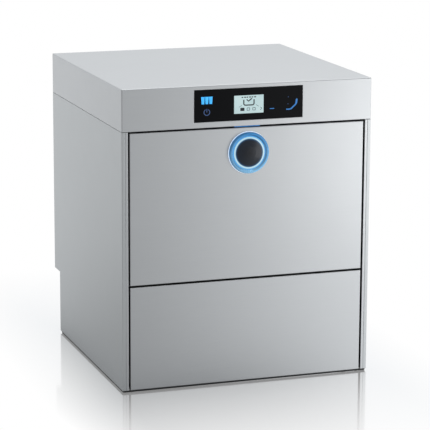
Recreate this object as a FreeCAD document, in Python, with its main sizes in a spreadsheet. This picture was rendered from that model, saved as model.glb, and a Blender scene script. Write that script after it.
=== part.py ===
"""Undercounter glass washer with a drop-down front door, as a parametric document.

Units are millimetres. The origin is on the floor at the middle of the cabinet's footprint,
+X to the machine's right seen from the front, +Y to the back and +Z up. The door faces -Y.
Every driving size is one row of SIZES below. Each row becomes a named cell of the document's
spreadsheet, and the solids are bound to those cells by expressions.
"""
import FreeCAD, Part
import math
import os

import Sketcher

SIZES = [
    ("width", 600, "cabinet, side to side"),
    ("depth", 600, "cabinet, front to back"),
    ("height", 700, "floor to the top of the lid"),
    ("sheet_t", 1.2, "outer sheet metal"),
    ("fold_r", 1.5, "outer radius of a fold in the outer sheets"),
    ("snug", 0.2, "gap between fixed sheets that lie on each other"),
    ("running", 0.05, "radial clearance of a shaft in its bore"),
    ("floor_gap", 5, "underside of the panels above the floor"),
    ("lid_h", 96, "height of the lid's skirt"),
    ("lid_seam", 1, "seam between lid and side panels"),
    ("lid_fold_r", 2.2, "outer radius of the lid's folds"),
    ("lid_lip", 14, "lid's inward lip above the door"),
    ("side_flange", 8, "visible front fold of a side panel"),
    ("rear_flange", 20, "fold at the back of a side panel"),
    ("post_seam", 0.5, "seam between side panel and front post"),
    ("post_face", 5.9, "visible width of a front post"),
    ("post_d", 38, "depth of a front post"),
    ("door_gap", 4.2, "dark gap round the door and lower panel"),
    ("door_base", 250, "lower edge of the door above the floor"),
    ("door_t", 32, "thickness of the closed door"),
    ("door_skirt", 28, "depth of the outer door tray"),
    ("liner_skirt", 18, "depth of the inner door tray"),
    ("door_fit", 0.4, "gap between the nested door trays"),
    ("emboss_h", 3, "raised middle of the inner door tray"),
    ("emboss_margin", 10, "raised middle inside the chamber mouth"),
    ("panel_skirt", 12, "depth of the lower front panel's folds"),
    ("liner_cut", 6, "bevel at the liner's lower back edge, which lets the door swing"),
    ("pin_room", 1, "room round a hinge pin in the door's skin"),
    ("hinge_in", 7, "hinge axis behind the door's face"),
    ("hinge_up", 9, "hinge axis above the door's lower edge"),
    ("hinge_pin_r", 4, "hinge pin"),
    ("pin_head_r", 5.4, "head of a hinge pin"),
    ("pin_head_t", 2.5, "thickness of that head"),
    ("arm_t", 6, "hinge arm's plate"),
    ("arm_leg", 70, "hinge arm's leg inside the door"),
    ("arm_skin_gap", 0.3, "hinge arm to the door's skins"),
    ("lever_reach", 61, "hinge lever behind the axis"),
    ("lever_w", 14, "width of the hinge lever"),
    ("slot_clear", 1.5, "room beside the lever in its slots"),
    ("stud_r", 3, "spring stud on the lever"),
    ("stud_from_tip", 5, "spring stud from the lever's tip"),
    ("stud_reach", 12, "spring stud beside the lever"),
    ("spring_coil_r", 5.2, "spring, mean coil radius"),
    ("spring_wire_r", 1.1, "spring wire"),
    ("spring_pitch", 5, "spring, rise of a turn"),
    ("spring_lead", 20, "straight wire at each end of a spring"),
    ("spring_side", 1, "spring outside the middle of its stud"),
    ("anchor_z", 52, "spring anchor above the floor"),
    ("side_cavity", 42, "cabinet side to the chamber's inner face"),
    ("back_cavity", 52, "cabinet back to the chamber's inner face"),
    ("mouth_in", 38, "chamber mouth behind the cabinet's front"),
    ("tub_t", 1.5, "chamber and tank sheet"),
    ("tub_floor", 240, "chamber floor above the cabinet's floor line"),
    ("tub_head", 36, "chamber ceiling above the lid's lower edge"),
    ("tub_r", 18, "inner corner radius of the chamber"),
    ("mouth_low", 268, "lower edge of the chamber mouth"),
    ("mouth_drop", 14, "upper edge of the mouth below the lid"),
    ("flange_drop", 2, "chamber flange below the lid"),
    ("seal_w", 8, "width of the door seal"),
    ("seal_in", 2, "door seal outside the mouth"),
    ("seal_gap", 0.3, "seal to the closed door"),
    ("well_side", 58, "tank inside the chamber, at each side"),
    ("well_front", 72, "tank inside the chamber, at the front"),
    ("well_back", 98, "tank inside the chamber, at the back"),
    ("well_floor", 165, "floor of the tank"),
    ("well_r", 15, "inner corner radius of the tank"),
    ("well_rim", 10, "rim of the tank under the chamber floor"),
    ("plate_t", 1.2, "strainer plate"),
    ("plate_seam", 0.6, "seam between the two strainer plates"),
    ("plate_hub_gap", 3, "strainer plates round the spindle"),
    ("plate_basket_gap", 1, "strainer plate round the basket"),
    ("plate_margin", 20, "unperforated edge of a strainer plate"),
    ("hub_margin", 10, "unperforated ring round the spindle"),
    ("basket_margin", 15, "unperforated ring round the basket"),
    ("plate_lap", 7, "strainer plate over the chamber floor"),
    ("hole_r", 2.4, "hole in a strainer plate"),
    ("hole_pitch", 15, "spacing of those holes"),
    ("basket_r", 40, "strainer basket"),
    ("basket_rim", 8, "rim of the strainer basket"),
    ("basket_lift", 8, "basket's foot above the tank floor"),
    ("basket_taper", 6, "basket's foot smaller than its top"),
    ("basket_hole_r", 3, "hole in the basket's foot"),
    ("basket_ring", 12, "spacing of the rings of those holes"),
    ("basket_side", 29, "basket beside the boiler and the suction hose"),
    ("rail_top", 293, "top of the rack rails"),
    ("rail_w", 28, "width of a rack rail"),
    ("rail_h", 30, "height of a rack rail's wall leg"),
    ("rail_t", 2, "rack rail sheet"),
    ("rail_off", 4, "rail's stand-off from the chamber wall"),
    ("rail_block_r", 6, "block that stands a rail off the wall"),
    ("rail_end", 14, "rail short of the chamber's ends"),
    ("spindle_r", 14, "spindle where the wash arm turns"),
    ("spindle_bore", 11, "water way in a spindle"),
    ("rinse_seat_r", 9, "spindle where the rinse arm turns"),
    ("nut_seat_r", 6, "spindle under the nut"),
    ("collar_r", 20, "collar that carries the wash arm"),
    ("collar_t", 3, "thickness of that collar"),
    ("flange_w", 4, "spindle's lower flange beyond its collar"),
    ("flange_t", 3, "thickness of that flange"),
    ("jet_wall", 2, "wall of a spindle under its nut"),
    ("wash_seat_h", 19, "length of the wash arm's seat"),
    ("rinse_seat_h", 15, "length of the rinse arm's seat"),
    ("nut_h", 9, "height of the nut that holds the arms"),
    ("nut_r", 13, "nut that holds the arms"),
    ("grip_r", 2.5, "grip groove of the nut"),
    ("grip_out", 1, "groove's middle outside the nut"),
    ("collar_z", 247, "top of the lower collar"),
    ("axial", 0.2, "end float of a turning arm"),
    ("arm_clear", 17, "arm tip to the nearest chamber wall"),
    ("wash_root", 17, "half width of a wash arm at the hub"),
    ("wash_tip", 11, "half width of a wash arm at the tip"),
    ("wash_hub_r", 23, "wash arm hub"),
    ("wash_arm_h", 12, "height of a wash arm's tube"),
    ("rinse_hub_r", 15, "rinse arm hub"),
    ("rinse_tube_r", 5.5, "rinse arm tube"),
    ("nozzle_w", 3, "wash nozzle, width"),
    ("nozzle_l", 14, "wash nozzle, length"),
    ("nozzle_deep", 5, "wash nozzle, depth"),
    ("tip_bevel", 7, "bevel of a wash arm's tip, along the arm"),
    ("tip_cut", 4, "bevel of a wash arm's tip, across the arm"),
    ("rinse_short", 6, "rinse arm shorter than the wash arm"),
    ("jet_r", 1.6, "rinse jet"),
    ("jet_deep", 3, "depth of a rinse jet"),
    ("heater_side", 30, "tank heater from the tank's sides"),
    ("heater_up", 22, "tank heater above the tank's floor"),
    ("heater_front", 50, "tank heater from the tank's front"),
    ("heater_tail", 10, "ends of the tank heater behind the tank"),
    ("pump_back", 158, "wash pump axis in front of the cabinet's back"),
    ("pump_lift", 8.5, "wash pump casing above the base plate"),
    ("volute_r", 60, "wash pump casing"),
    ("volute_w", 46, "width of that casing"),
    ("volute_t", 4, "wall of that casing"),
    ("outlet_in", 16, "pump outlet's middle inside the casing's rim"),
    ("outlet_rise", 4, "pump outlet above the casing"),
    ("feed_spigot", 8, "feed spigot in front of the casing"),
    ("wheel_gap", 4, "impeller from the casing's side"),
    ("wheel_in", 8, "impeller inside the casing's wall"),
    ("wheel_t", 3, "impeller's plate"),
    ("boss_wall", 5, "wall of the impeller's boss"),
    ("blade_t", 3, "impeller blade, thickness"),
    ("blade_h", 14, "impeller blade, height"),
    ("blade_in", 2, "impeller blade inside its plate's edge and its boss"),
    ("suction_r", 20, "suction hose, outside"),
    ("suction_wall", 4, "wall of the suction hose"),
    ("suction_spigot", 15, "length of the pump's inlet spigot"),
    ("suction_bend", 30, "bend radius of the suction hose"),
    ("motor_r", 52, "wash pump motor"),
    ("motor_l", 160, "length of that motor"),
    ("motor_wall", 6, "wall of that motor"),
    ("motor_gap", 2, "motor beside the pump casing"),
    ("rib_r", 3, "cooling rib of the motor"),
    ("rib_in", 15, "rib from the motor's ends"),
    ("shaft_in", 4, "motor shaft from the motor's far end"),
    ("bearing_in", 3, "bearing bore from the motor's far end"),
    ("core_gap", 12, "rotor core inside the motor's wall"),
    ("core_in", 25, "rotor core from the motor's ends"),
    ("cradle_w", 68, "motor cradle, front to back"),
    ("cradle_in", 30, "motor cradle from the motor's ends"),
    ("cradle_rise", 12, "cradle's horns above the motor's underside"),
    ("shaft_r", 6, "motor shaft"),
    ("pipe_bend", 18, "bend radius of the wash pipes"),
    ("riser_back", 26, "riser's axis in front of the cabinet's back"),
    ("riser_low", 205, "height at which the riser goes back"),
    ("feed_z", 98, "height of the feed to the lower spindle"),
    ("feed_top", 122, "lower end of the lower spindle"),
    ("riser_head", 2, "straight end of the riser over the upper spindle"),
    ("head_rise", 20, "upper spindle above the chamber"),
    ("rinse_pipe_r", 6, "rinse pipe"),
    ("rinse_bend", 14, "bend radius of the rinse pipe"),
    ("rinse_wall", 1.5, "wall of the rinse pipe"),
    ("rinse_over", 5, "rinse pipe above the chamber"),
    ("rinse_in", 12, "rinse pipe in front of the chamber's back"),
    ("boiler_r", 58, "rinse boiler"),
    ("boiler_l", 340, "length of the boiler"),
    ("boiler_side", 83, "boiler's axis from the cabinet's side"),
    ("boiler_front", 75, "boiler behind the cabinet's front"),
    ("boiler_z", 98, "boiler's axis above the floor"),
    ("boiler_wall", 2.5, "wall of the boiler"),
    ("boiler_bevel", 12, "bevel of the boiler's ends"),
    ("bevel_in", 1, "extra bevel inside the boiler"),
    ("boiler_cap", 8, "heater's cap in front of the boiler"),
    ("cradle_side", 76, "boiler cradle, side to side"),
    ("cradle_t", 16, "boiler cradle, front to back"),
    ("port_r", 28, "boiler's heater port"),
    ("rod_r", 4, "tank heater rod"),
    ("rod_bend", 16, "bend radius of the tank heater"),
    ("thin_rod_r", 3, "boiler heater rod"),
    ("thin_rod_gap", 8, "inner boiler rod from the boiler's axis"),
    ("thin_rod_step", 12, "outer boiler rod outside the inner one"),
    ("thin_rod_short", 60, "boiler rods from the boiler's far end"),
    ("base_z", 18, "base plate above the floor"),
    ("base_t", 1.5, "base sheet"),
    ("base_wall", 42, "height of the base's folded walls"),
    ("drip_r", 20, "drip hole in the base plate"),
    ("drip_front", 90, "drip hole behind the cabinet's front"),
    ("foot_side", 35, "foot from the cabinet's side"),
    ("foot_front", 56, "front foot behind the cabinet's front"),
    ("foot_back", 85, "rear foot in front of the cabinet's back"),
    ("foot_r", 18, "foot pad"),
    ("foot_pad_h", 8, "height of a foot pad"),
    ("foot_bevel", 2, "bevel under a foot pad"),
    ("foot_slope", 3, "slope on top of a foot pad, height"),
    ("foot_slope_w", 4, "slope on top of a foot pad, width"),
    ("foot_sink", 1, "foot's hexagon sunk into its pad"),
    ("foot_hex", 8, "half width of the foot's hexagon"),
    ("foot_hex_h", 6, "height of that hexagon"),
    ("foot_stud_r", 5, "foot's threaded stud"),
    ("foot_stud_top", 62, "top of that stud above the floor"),
    ("bush_r", 10, "threaded bush in the base"),
    ("bush_h", 24, "height of that bush"),
    ("step_z", 157, "underside of the upper back above the floor"),
    ("step_d", 50, "how far the lower back is set in"),
    ("louvre_w", 180, "slot in the upper back, width"),
    ("louvre_h", 4, "slot in the upper back, height"),
    ("louvre_pitch", 14, "spacing of those slots"),
    ("louvre_drop", 60, "first slot below the side panels' top"),
    ("screw_in", 30, "back panel screw from the end of its row"),
    ("glass_w", 260, "control glass, width"),
    ("glass_h", 73, "control glass, height"),
    ("glass_drop", 9.8, "control glass below the top"),
    ("glass_t", 4, "control glass, thickness"),
    ("glass_proud", 0.8, "control glass in front of the lid"),
    ("glass_fit", 0.4, "gap round the control glass"),
    ("display_w", 71, "display window, width"),
    ("display_h", 41.6, "display window, height"),
    ("display_drop", 16.4, "display window below the glass's top"),
    ("screen_sink", 0.3, "display behind the glass's face"),
    ("screen_lap", 6, "display's board beyond the window, at the sides"),
    ("screen_lap_z", 5, "display's board beyond the window, above and below"),
    ("screen_t", 5, "thickness of the display's board"),
    ("housing_in", 8, "control housing inside the glass's edge"),
    ("housing_d", 26, "depth of the control housing"),
    ("housing_t", 2, "wall of the control housing and the electrical box"),
    ("board_in", 10, "control board behind the glass"),
    ("board_t", 1.6, "control board"),
    ("chip_x", 50, "processor left of the middle"),
    ("chip_w", 20, "processor, width and height"),
    ("chip_t", 3, "processor, thickness"),
    ("relay_x", 65, "relay right of the middle"),
    ("relay_w", 30, "relay, width"),
    ("relay_h", 25, "relay, height"),
    ("relay_t", 9, "relay, thickness"),
    ("parts_up", 13, "these two above the board's lower edge"),
    ("ebox_side", 20, "electrical box from the cabinet's side"),
    ("ebox_in", 40, "electrical box from the cabinet's middle"),
    ("ebox_l", 300, "electrical box, front to back"),
    ("ebox_up", 4, "electrical box above the chamber"),
    ("ebox_down", 6, "electrical box below the lid"),
    ("break_l", 300, "break tank, front to back"),
    ("break_wall", 2.5, "wall of the break tank"),
    ("break_side", 4, "break tank from the side panel"),
    ("break_in", 6, "break tank from the chamber"),
    ("break_end", 60, "break tank from the level of the mouth's edges"),
    ("lamp_r", 47.8, "status lamp, outside"),
    ("lamp_drop", 62, "status lamp's middle below the lid"),
    ("lamp_proud", 9, "status lamp in front of the door"),
    ("lens_r", 39, "lens of the status lamp"),
    ("lens_crown", 3, "crown of that lens"),
    ("bezel_round", 3.5, "rounding of the lamp's bezel"),
    ("lamp_stem_r", 8, "lamp's hollow stem through the door skin"),
    ("stem_wall", 2, "wall of that stem"),
    ("lens_seat", 3, "lamp's back plate under the lens"),
    ("lens_sink", 0.5, "lens edge below its bezel"),
    ("bar_w", 60, "light bar over the door, width"),
    ("bar_d", 7, "light bar, depth"),
    ("bar_in", 8, "light bar behind the door's face"),
    ("bar_h", 3.2, "light bar above the door's upper edge"),
    ("spigot_r", 11, "drain spigot, outside"),
    ("spigot_bore", 8.5, "drain spigot, bore"),
    ("spigot_l", 32, "free length of the drain spigot"),
    ("spigot_x", 215, "drain spigot left of the middle"),
    ("spigot_z", 82, "drain spigot above the floor"),
    ("flange_out", 7, "inner flange of the drain spigot"),
    ("nut_out", 5, "nuts of the spigot and the inlet beyond their necks"),
    ("drain_in", 16, "drain hose's end behind the back panel"),
    ("drain_x", 130, "drain pump left of the middle"),
    ("drain_y", 60, "drain pump in front of the middle"),
    ("drain_r", 34, "drain pump"),
    ("drain_l", 84, "length of the drain pump"),
    ("drain_wall", 4, "wall of the drain pump"),
    ("drain_neck", 16, "outlet of the drain pump"),
    ("drain_foot_w", 40, "drain pump's foot, side to side"),
    ("drain_foot_l", 60, "drain pump's foot, front to back"),
    ("drain_foot_in", 20, "top of that foot below the pump's axis"),
    ("small_shaft_r", 4, "shaft of the small pumps"),
    ("drain_shaft_l", 68, "length of the drain pump's shaft"),
    ("drain_core_r", 20, "drain pump's rotor core"),
    ("drain_core_l", 30, "length of that core"),
    ("drain_core_y", 30, "front of that core before the pump's middle"),
    ("drain_wheel_r", 25, "drain pump's wheel"),
    ("drain_wheel_t", 8, "thickness of that wheel"),
    ("drain_wheel_y", 14, "front of that wheel behind the pump's middle"),
    ("hose_over", 2, "drain hose's outside beyond the spigot's"),
    ("hose_wall", 3, "wall of the drain hose"),
    ("hose_bend", 22, "bend radius of the drain hose"),
    ("inlet_r", 13.2, "water inlet thread, outside"),
    ("inlet_bore", 9, "water inlet, bore"),
    ("inlet_l", 12, "free length of the inlet thread"),
    ("inlet_x", 120, "water inlet right of the middle"),
    ("inlet_z", 95, "water inlet above the floor"),
    ("valve_wall", 3, "inlet valve's body beyond its neck"),
    ("valve_l", 40, "inlet valve's body"),
    ("valve_deep", 20, "inlet bore inside the back panel"),
    ("coil_r", 13, "inlet valve's coil"),
    ("coil_h", 34, "height of that coil"),
    ("coil_y", 14, "coil behind the valve's inner end"),
    ("coil_up", 8, "coil's foot above the inlet's axis"),
    ("gland_bore", 5.5, "cable gland, bore"),
    ("gland_r", 10, "cable gland, neck"),
    ("gland_x", 60, "cable gland left of the middle"),
    ("gland_z", 130, "cable gland above the floor"),
    ("gland_head", 4, "gland's flange and nut beyond its neck"),
    ("gland_in", 8, "gland inside the back panel, and its nut outside"),
    ("gland_slope", 10, "slope of the gland's nut"),
    ("gland_end", 4, "last slope of the gland"),
    ("gland_lip", 2, "step of that last slope"),
    ("booster_x", 55, "booster pump, left of the middle"),
    ("booster_front", 105, "booster pump behind the cabinet's front"),
    ("booster_z", 78, "booster pump above the floor"),
    ("booster_r", 36, "booster pump's motor"),
    ("booster_l", 112, "length of that motor"),
    ("booster_head_r", 44, "booster pump's head"),
    ("booster_head_l", 26, "length of that head"),
    ("booster_foot_in", 20, "booster pump's foot from its motor's end"),
    ("booster_foot_l", 80, "booster pump's foot, side to side"),
    ("booster_foot_w", 52, "booster pump's foot, front to back"),
    ("booster_foot_z", 20, "top of that foot below the pump's axis"),
    ("booster_spout_r", 9, "booster pump's outlet"),
    ("booster_spout_h", 62, "booster pump's outlet above its axis"),
    ("dosing_in", 12, "dosing pumps behind the lower panel"),
    ("dosing_z", 110, "dosing pumps above the floor"),
    ("dosing_side", 65, "first dosing pump from the cabinet's side"),
    ("dosing_pitch", 80, "second dosing pump beside the first"),
    ("dosing_w", 64, "dosing pump, width"),
    ("dosing_h", 68, "dosing pump, height"),
    ("dosing_d", 46, "dosing pump, depth"),
    ("dosing_well_r", 26, "dosing pump's round well"),
    ("dosing_well_d", 16, "depth of that well"),
    ("dosing_bore_d", 30, "depth of the shaft's bore in a dosing pump"),
    ("dosing_shaft_l", 26, "dosing pump's shaft"),
    ("dosing_sink", 2, "dosing rotor behind the pump's face"),
    ("dosing_hub_r", 9, "dosing rotor's hub"),
    ("roller_r", 7, "dosing pump's roller"),
    ("roller_ring", 15, "rollers from the rotor's axis"),
    ("roller_l", 12, "length of a roller"),
    ("collar_out", 4.4, "nuts outside the back panel"),
    ("screw_r", 2, "panel screw"),
    ("screw_head_r", 4.2, "head of a panel screw"),
    ("screw_head_t", 2.2, "thickness of that head"),
]

LOUVRES = 6
MOTOR_RIBS = 10
IMPELLER_BLADES = 6
NUT_GRIPS = 10
ROLLERS = 3
PAST = 1  # how far a cutting tool runs beyond what it cuts


class Size:
    """A number together with the spreadsheet expression that gives it."""

    def __init__(self, value, text):
        self.value = float(value)
        self.text = text

    def _with(self, other, sign, value, swap=False):
        other = size(other)
        pair = (other.text, self.text) if swap else (self.text, other.text)
        return Size(value, "(%s %s %s)" % (pair[0], sign, pair[1]))

    def __add__(self, other):
        return self._with(other, "+", self.value + size(other).value)

    def __radd__(self, other):
        return size(other) + self

    def __sub__(self, other):
        return self._with(other, "-", self.value - size(other).value)

    def __rsub__(self, other):
        return size(other) - self

    def __mul__(self, other):
        return self._with(other, "*", self.value * size(other).value)

    def __rmul__(self, other):
        return size(other) * self

    def __truediv__(self, other):
        return self._with(other, "/", self.value / size(other).value)

    def __neg__(self):
        return size(0) - self


def size(number):
    return number if isinstance(number, Size) else Size(number, "%.6f" % number)


def smallest(a, b):
    return Size(min(a.value, b.value), "min(%s; %s)" % (a.text, b.text))


class Named:
    """Holds each driving size under its own name."""


doc = FreeCAD.newDocument("glass_washer")
cells = doc.addObject("Spreadsheet::Sheet", "Sizes")
D = Named()
for row, (alias, number, note) in enumerate(SIZES, 1):
    cells.set("A%d" % row, alias)
    cells.set("B%d" % row, str(number))
    cells.setAlias("B%d" % row, alias)
    cells.set("C%d" % row, note)
    setattr(D, alias, Size(number, "Sizes." + alias))
doc.recompute()

PARTS = {}


def part(label, obj):
    """Names obj as one sub-part of the machine."""
    obj.Label = label
    PARTS[label] = obj
    return obj


def bind(obj, name, value):
    obj.setExpression(name, size(value).text)


def bind_place(obj, x, y, z, rotation=None):
    place = FreeCAD.Vector(size(x).value, size(y).value, size(z).value)
    obj.Placement = FreeCAD.Placement(place, rotation or FreeCAD.Rotation())
    for axis, value in zip("xyz", (x, y, z)):
        bind(obj, "Placement.Base." + axis, value)


TURN = {
    "+Z": FreeCAD.Rotation(),
    "-Z": FreeCAD.Rotation(FreeCAD.Vector(1, 0, 0), 180),
    "+X": FreeCAD.Rotation(FreeCAD.Vector(0, 1, 0), 90),
    "-X": FreeCAD.Rotation(FreeCAD.Vector(0, 1, 0), -90),
    "+Y": FreeCAD.Rotation(FreeCAD.Vector(1, 0, 0), -90),
    "-Y": FreeCAD.Rotation(FreeCAD.Vector(1, 0, 0), 90),
}


# Primitives and booleans
def box(name, x, y, z):
    """A block between two values on each axis."""
    obj = doc.addObject("Part::Box", name)
    for prop, (low, high) in zip(("Length", "Width", "Height"), (x, y, z)):
        bind(obj, prop, high - low)
    bind_place(obj, x[0], y[0], z[0])
    return obj


def cylinder(name, radius, length, at, axis="+Z"):
    obj = doc.addObject("Part::Cylinder", name)
    bind(obj, "Radius", radius)
    bind(obj, "Height", length)
    bind_place(obj, at[0], at[1], at[2], TURN[axis])
    return obj


def fuse(name, *shapes):
    obj = doc.addObject("Part::MultiFuse", name)
    obj.Shapes = list(shapes)
    obj.Refine = True
    return obj


def cut(name, base, *tools):
    obj = doc.addObject("Part::Cut", name)
    obj.Base = base
    obj.Tool = tools[0] if len(tools) == 1 else together(name + "_tools", *tools)
    return obj


def together(name, *shapes):
    """Separate solids kept as one object."""
    obj = doc.addObject("Part::Compound", name)
    obj.Links = list(shapes)
    return obj


def mirrored(name, source):
    """The same piece on the machine's other side."""
    obj = doc.addObject("Part::Mirroring", name)
    obj.Source = source
    obj.Normal = (1, 0, 0)
    return obj


# Sketches and features
def new_body(name, at=(0, 0, 0), axis="+Z"):
    body = doc.addObject("PartDesign::Body", name)
    bind_place(body, at[0], at[1], at[2], TURN[axis])
    return body


def rectangle(x, y):
    return [(x[0], y[0]), (x[1], y[0]), (x[1], y[1]), (x[0], y[1])]


def disc(x, y, radius):
    return ("disc", x, y, radius)


def draw(body, name, plane, loops, offset=0):
    """A sketch of closed loops, each a list of corner points or a disc, bound to the sheet."""
    sketch = body.newObject("Sketcher::SketchObject", name)
    origin = [f for f in body.Origin.OriginFeatures if f.Role == plane][0]
    sketch.AttachmentSupport = [(origin, "")]
    sketch.MapMode = "FlatFace"
    bind(sketch, "AttachmentOffset.Base.z", offset)

    def fix(kind, where, value):
        value = size(value)
        index = sketch.addConstraint(Sketcher.Constraint(kind, *where, value.value))
        sketch.setExpression("Constraints[%d]" % index, value.text)

    for loop in loops:
        if loop[0] == "disc":
            x, y, radius = (size(v) for v in loop[1:])
            centre = FreeCAD.Vector(x.value, y.value, 0)
            circle = Part.Circle(centre, FreeCAD.Vector(0, 0, 1), radius.value)
            edge = sketch.addGeometry(circle, False)
            fix("DistanceX", (-1, 1, edge, 3), x)
            fix("DistanceY", (-1, 1, edge, 3), y)
            fix("Radius", (edge,), radius)
            continue
        points = [(size(x), size(y)) for x, y in loop]
        flat = [FreeCAD.Vector(x.value, y.value, 0) for x, y in points]
        count = len(flat)
        edges = []
        for i in range(count):
            line = Part.LineSegment(flat[i], flat[(i + 1) % count])
            edges.append(sketch.addGeometry(line, False))
        for i in range(count):
            after = edges[(i + 1) % count]
            sketch.addConstraint(Sketcher.Constraint("Coincident", edges[i], 2, after, 1))
        for edge, (x, y) in zip(edges, points):
            fix("DistanceX", (-1, 1, edge, 1), x)
            fix("DistanceY", (-1, 1, edge, 1), y)
    return sketch


def extrude(body, name, plane, span, loops, remove=False):
    """Pads or pockets the loops between two values along the plane's row axis."""
    low, high = (size(v) for v in span)
    faces_back = plane == "XZ_Plane"
    sketch = draw(body, name + "_sketch", plane, loops, -low if faces_back else low)
    if remove:
        doc.recompute()
        before = body.Shape.Volume
    kind = "PartDesign::Pocket" if remove else "PartDesign::Pad"
    feature = body.newObject(kind, name)
    feature.Profile = sketch
    feature.Reversed = faces_back != remove
    bind(feature, "Length", high - low)
    if remove:
        doc.recompute()
        if not body.Shape.Volume < before - 1e-6:
            raise ValueError(name + " cuts nothing")
    return feature


def pocket(body, name, plane, span, loops):
    return extrude(body, name, plane, span, loops, remove=True)


def revolve(body, name, profile):
    """Turns a profile of (radius, height) points about the body's Z axis."""
    sketch = draw(body, name + "_sketch", "XZ_Plane", [profile])
    feature = body.newObject("PartDesign::Revolution", name)
    feature.Profile = sketch
    feature.ReferenceAxis = (sketch, ["V_Axis"])
    feature.Angle = 360
    return feature


def turned(name, profile, at=(0, 0, 0), axis="+Z"):
    body = new_body(name, at, axis)
    revolve(body, name + "_turn", profile)
    return body


def round_edges(body, name, radius, test):
    """Fillets the edges whose middle point and direction pass the test."""
    doc.recompute()
    base = body.Tip
    names = []
    for number, edge in enumerate(base.Shape.Edges, 1):
        middle = edge.valueAt((edge.FirstParameter + edge.LastParameter) / 2)
        way = edge.tangentAt((edge.FirstParameter + edge.LastParameter) / 2)
        if test(middle, way):
            names.append("Edge%d" % number)
    if not names:
        raise ValueError(name + " rounds nothing")
    feature = body.newObject("PartDesign::Fillet", name)
    feature.Base = (base, names)
    bind(feature, "Radius", radius)
    return feature


def near(a, b):
    return abs(a - size(b).value) < 0.01


# Bent tubes
def bent_path(points, bend):
    """A wire of straight runs joined by tangent arcs of one bend radius."""
    points = [FreeCAD.Vector(*(size(v).value for v in p)) for p in points]
    edges = []
    start = points[0]
    for before, corner, after in zip(points, points[1:], points[2:]):
        way_in = (corner - before).normalize()
        way_out = (after - corner).normalize()
        turn = way_in.getAngle(way_out)
        back_off = bend * math.tan(turn / 2)
        enter = corner - way_in * back_off
        leave = corner + way_out * back_off
        inward = (way_out - way_in).normalize()
        middle = corner + inward * (bend / math.cos(turn / 2) - bend)
        edges.append(Part.LineSegment(start, enter).toShape())
        edges.append(Part.Arc(enter, middle, leave).toShape())
        start = leave
    edges.append(Part.LineSegment(start, points[-1]).toShape())
    return Part.Wire(edges)


def swept(path, radius):
    first = path.Edges[0]
    way = first.tangentAt(first.FirstParameter)
    ring = Part.Circle(first.valueAt(first.FirstParameter), way, radius).toShape()
    return path.makePipeShell([Part.Wire([ring])], True, False)


def tube(name, points, bend, outer, inner=None):
    """A bent pipe, or a bent rod where it has no bore, as a plain shape."""
    path = bent_path(points, size(bend).value)
    shape = swept(path, size(outer).value)
    if inner is not None:
        shape = shape.cut(swept(path, size(inner).value))
    obj = doc.addObject("Part::Feature", name)
    obj.Shape = shape
    return obj


# Places that several pieces share
half = D.width / 2
front = -D.depth / 2
back = D.depth / 2
lid_z = D.height - D.lid_h
side_top = lid_z - D.lid_seam
post_x = half - D.side_flange - D.post_seam - D.post_face
door_x = post_x - D.door_gap
door_top = lid_z - D.door_gap
panel_top = D.door_base - D.door_gap
axis_y = front + D.hinge_in
axis_z = D.door_base + D.hinge_up
tub_x = half - D.side_cavity
tub_front = front + D.mouth_in
tub_back = back - D.back_cavity
tub_top = lid_z + D.tub_head
mouth_top = lid_z - D.mouth_drop
arm_x = door_x - D.sheet_t - D.door_fit - D.sheet_t - D.arm_skin_gap * 2
hub_y = (tub_front + tub_back) / 2
low_back = back - D.step_d
low_panel_y = low_back - D.sheet_t - D.snug
well_x = tub_x - D.well_side
well_y = (tub_front + D.well_front, tub_back - D.well_back)
boiler_x = half - D.boiler_side
basket_x = boiler_x - D.boiler_r - D.suction_r - D.basket_side
plate_top = D.base_z + D.base_t
pump_y = back - D.pump_back
pump_z = plate_top + D.pump_lift + D.volute_r
outlet_y = pump_y + D.volute_r - D.outlet_in
outlet_top = pump_z + D.volute_r + D.outlet_rise
feed_y = pump_y - D.volute_r - D.feed_spigot
DIAGONAL = math.sqrt(0.5)


def both_sides(name, make):
    """Makes a piece for the left side and its mirror image for the right."""
    left = part(name + "_left", make())
    part(name + "_right", mirrored(name + "_right", left))


def pair(label, make):
    """The same, kept together as one sub-part of two solids."""
    left = make()
    part(label, together(label, left, mirrored(label + "_right", left)))


# Outer casing
def side_panel():
    body = new_body("side_panel")
    outline = [
        (front, D.floor_gap), (low_back, D.floor_gap), (low_back, D.step_z),
        (back, D.step_z), (back, side_top), (front, side_top),
    ]
    extrude(body, "side_skin", "YZ_Plane", (-half, D.sheet_t - half), [outline])
    flange = rectangle((-half, D.side_flange - half), (front, front + D.sheet_t))
    extrude(body, "side_front_fold", "XY_Plane", (D.floor_gap, side_top), [flange])
    fold_x = (-half, D.rear_flange - half)
    upper = rectangle(fold_x, (back - D.sheet_t, back))
    extrude(body, "side_rear_fold", "XY_Plane", (D.step_z, side_top), [upper])
    lower = rectangle(fold_x, (low_back - D.sheet_t, low_back))
    extrude(body, "side_low_fold", "XY_Plane", (D.floor_gap, D.step_z), [lower])

    def outer_fold(p, way):
        return near(p.x, -half) and abs(way.z) > 0.9 and (near(p.y, front) or near(p.y, back))

    round_edges(body, "side_fold", D.fold_r, outer_fold)
    return body


def front_post():
    """A folded channel beside the door, with the hole of the hinge pin."""
    body = new_body("front_post")
    inner = D.sheet_t - half + D.snug
    back_y = front + D.post_d
    outline = [
        (-post_x - D.post_face, front), (-post_x, front), (-post_x, back_y),
        (inner, back_y), (inner, back_y - D.sheet_t), (-post_x - D.sheet_t, back_y - D.sheet_t),
        (-post_x - D.sheet_t, front + D.sheet_t), (-post_x - D.post_face, front + D.sheet_t),
    ]
    extrude(body, "post_channel", "XY_Plane", (D.floor_gap, side_top), [outline])
    hole = [disc(axis_y, axis_z, D.hinge_pin_r)]
    pocket(body, "post_hole", "YZ_Plane", (-post_x - D.sheet_t, -post_x), hole)
    return body


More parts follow.
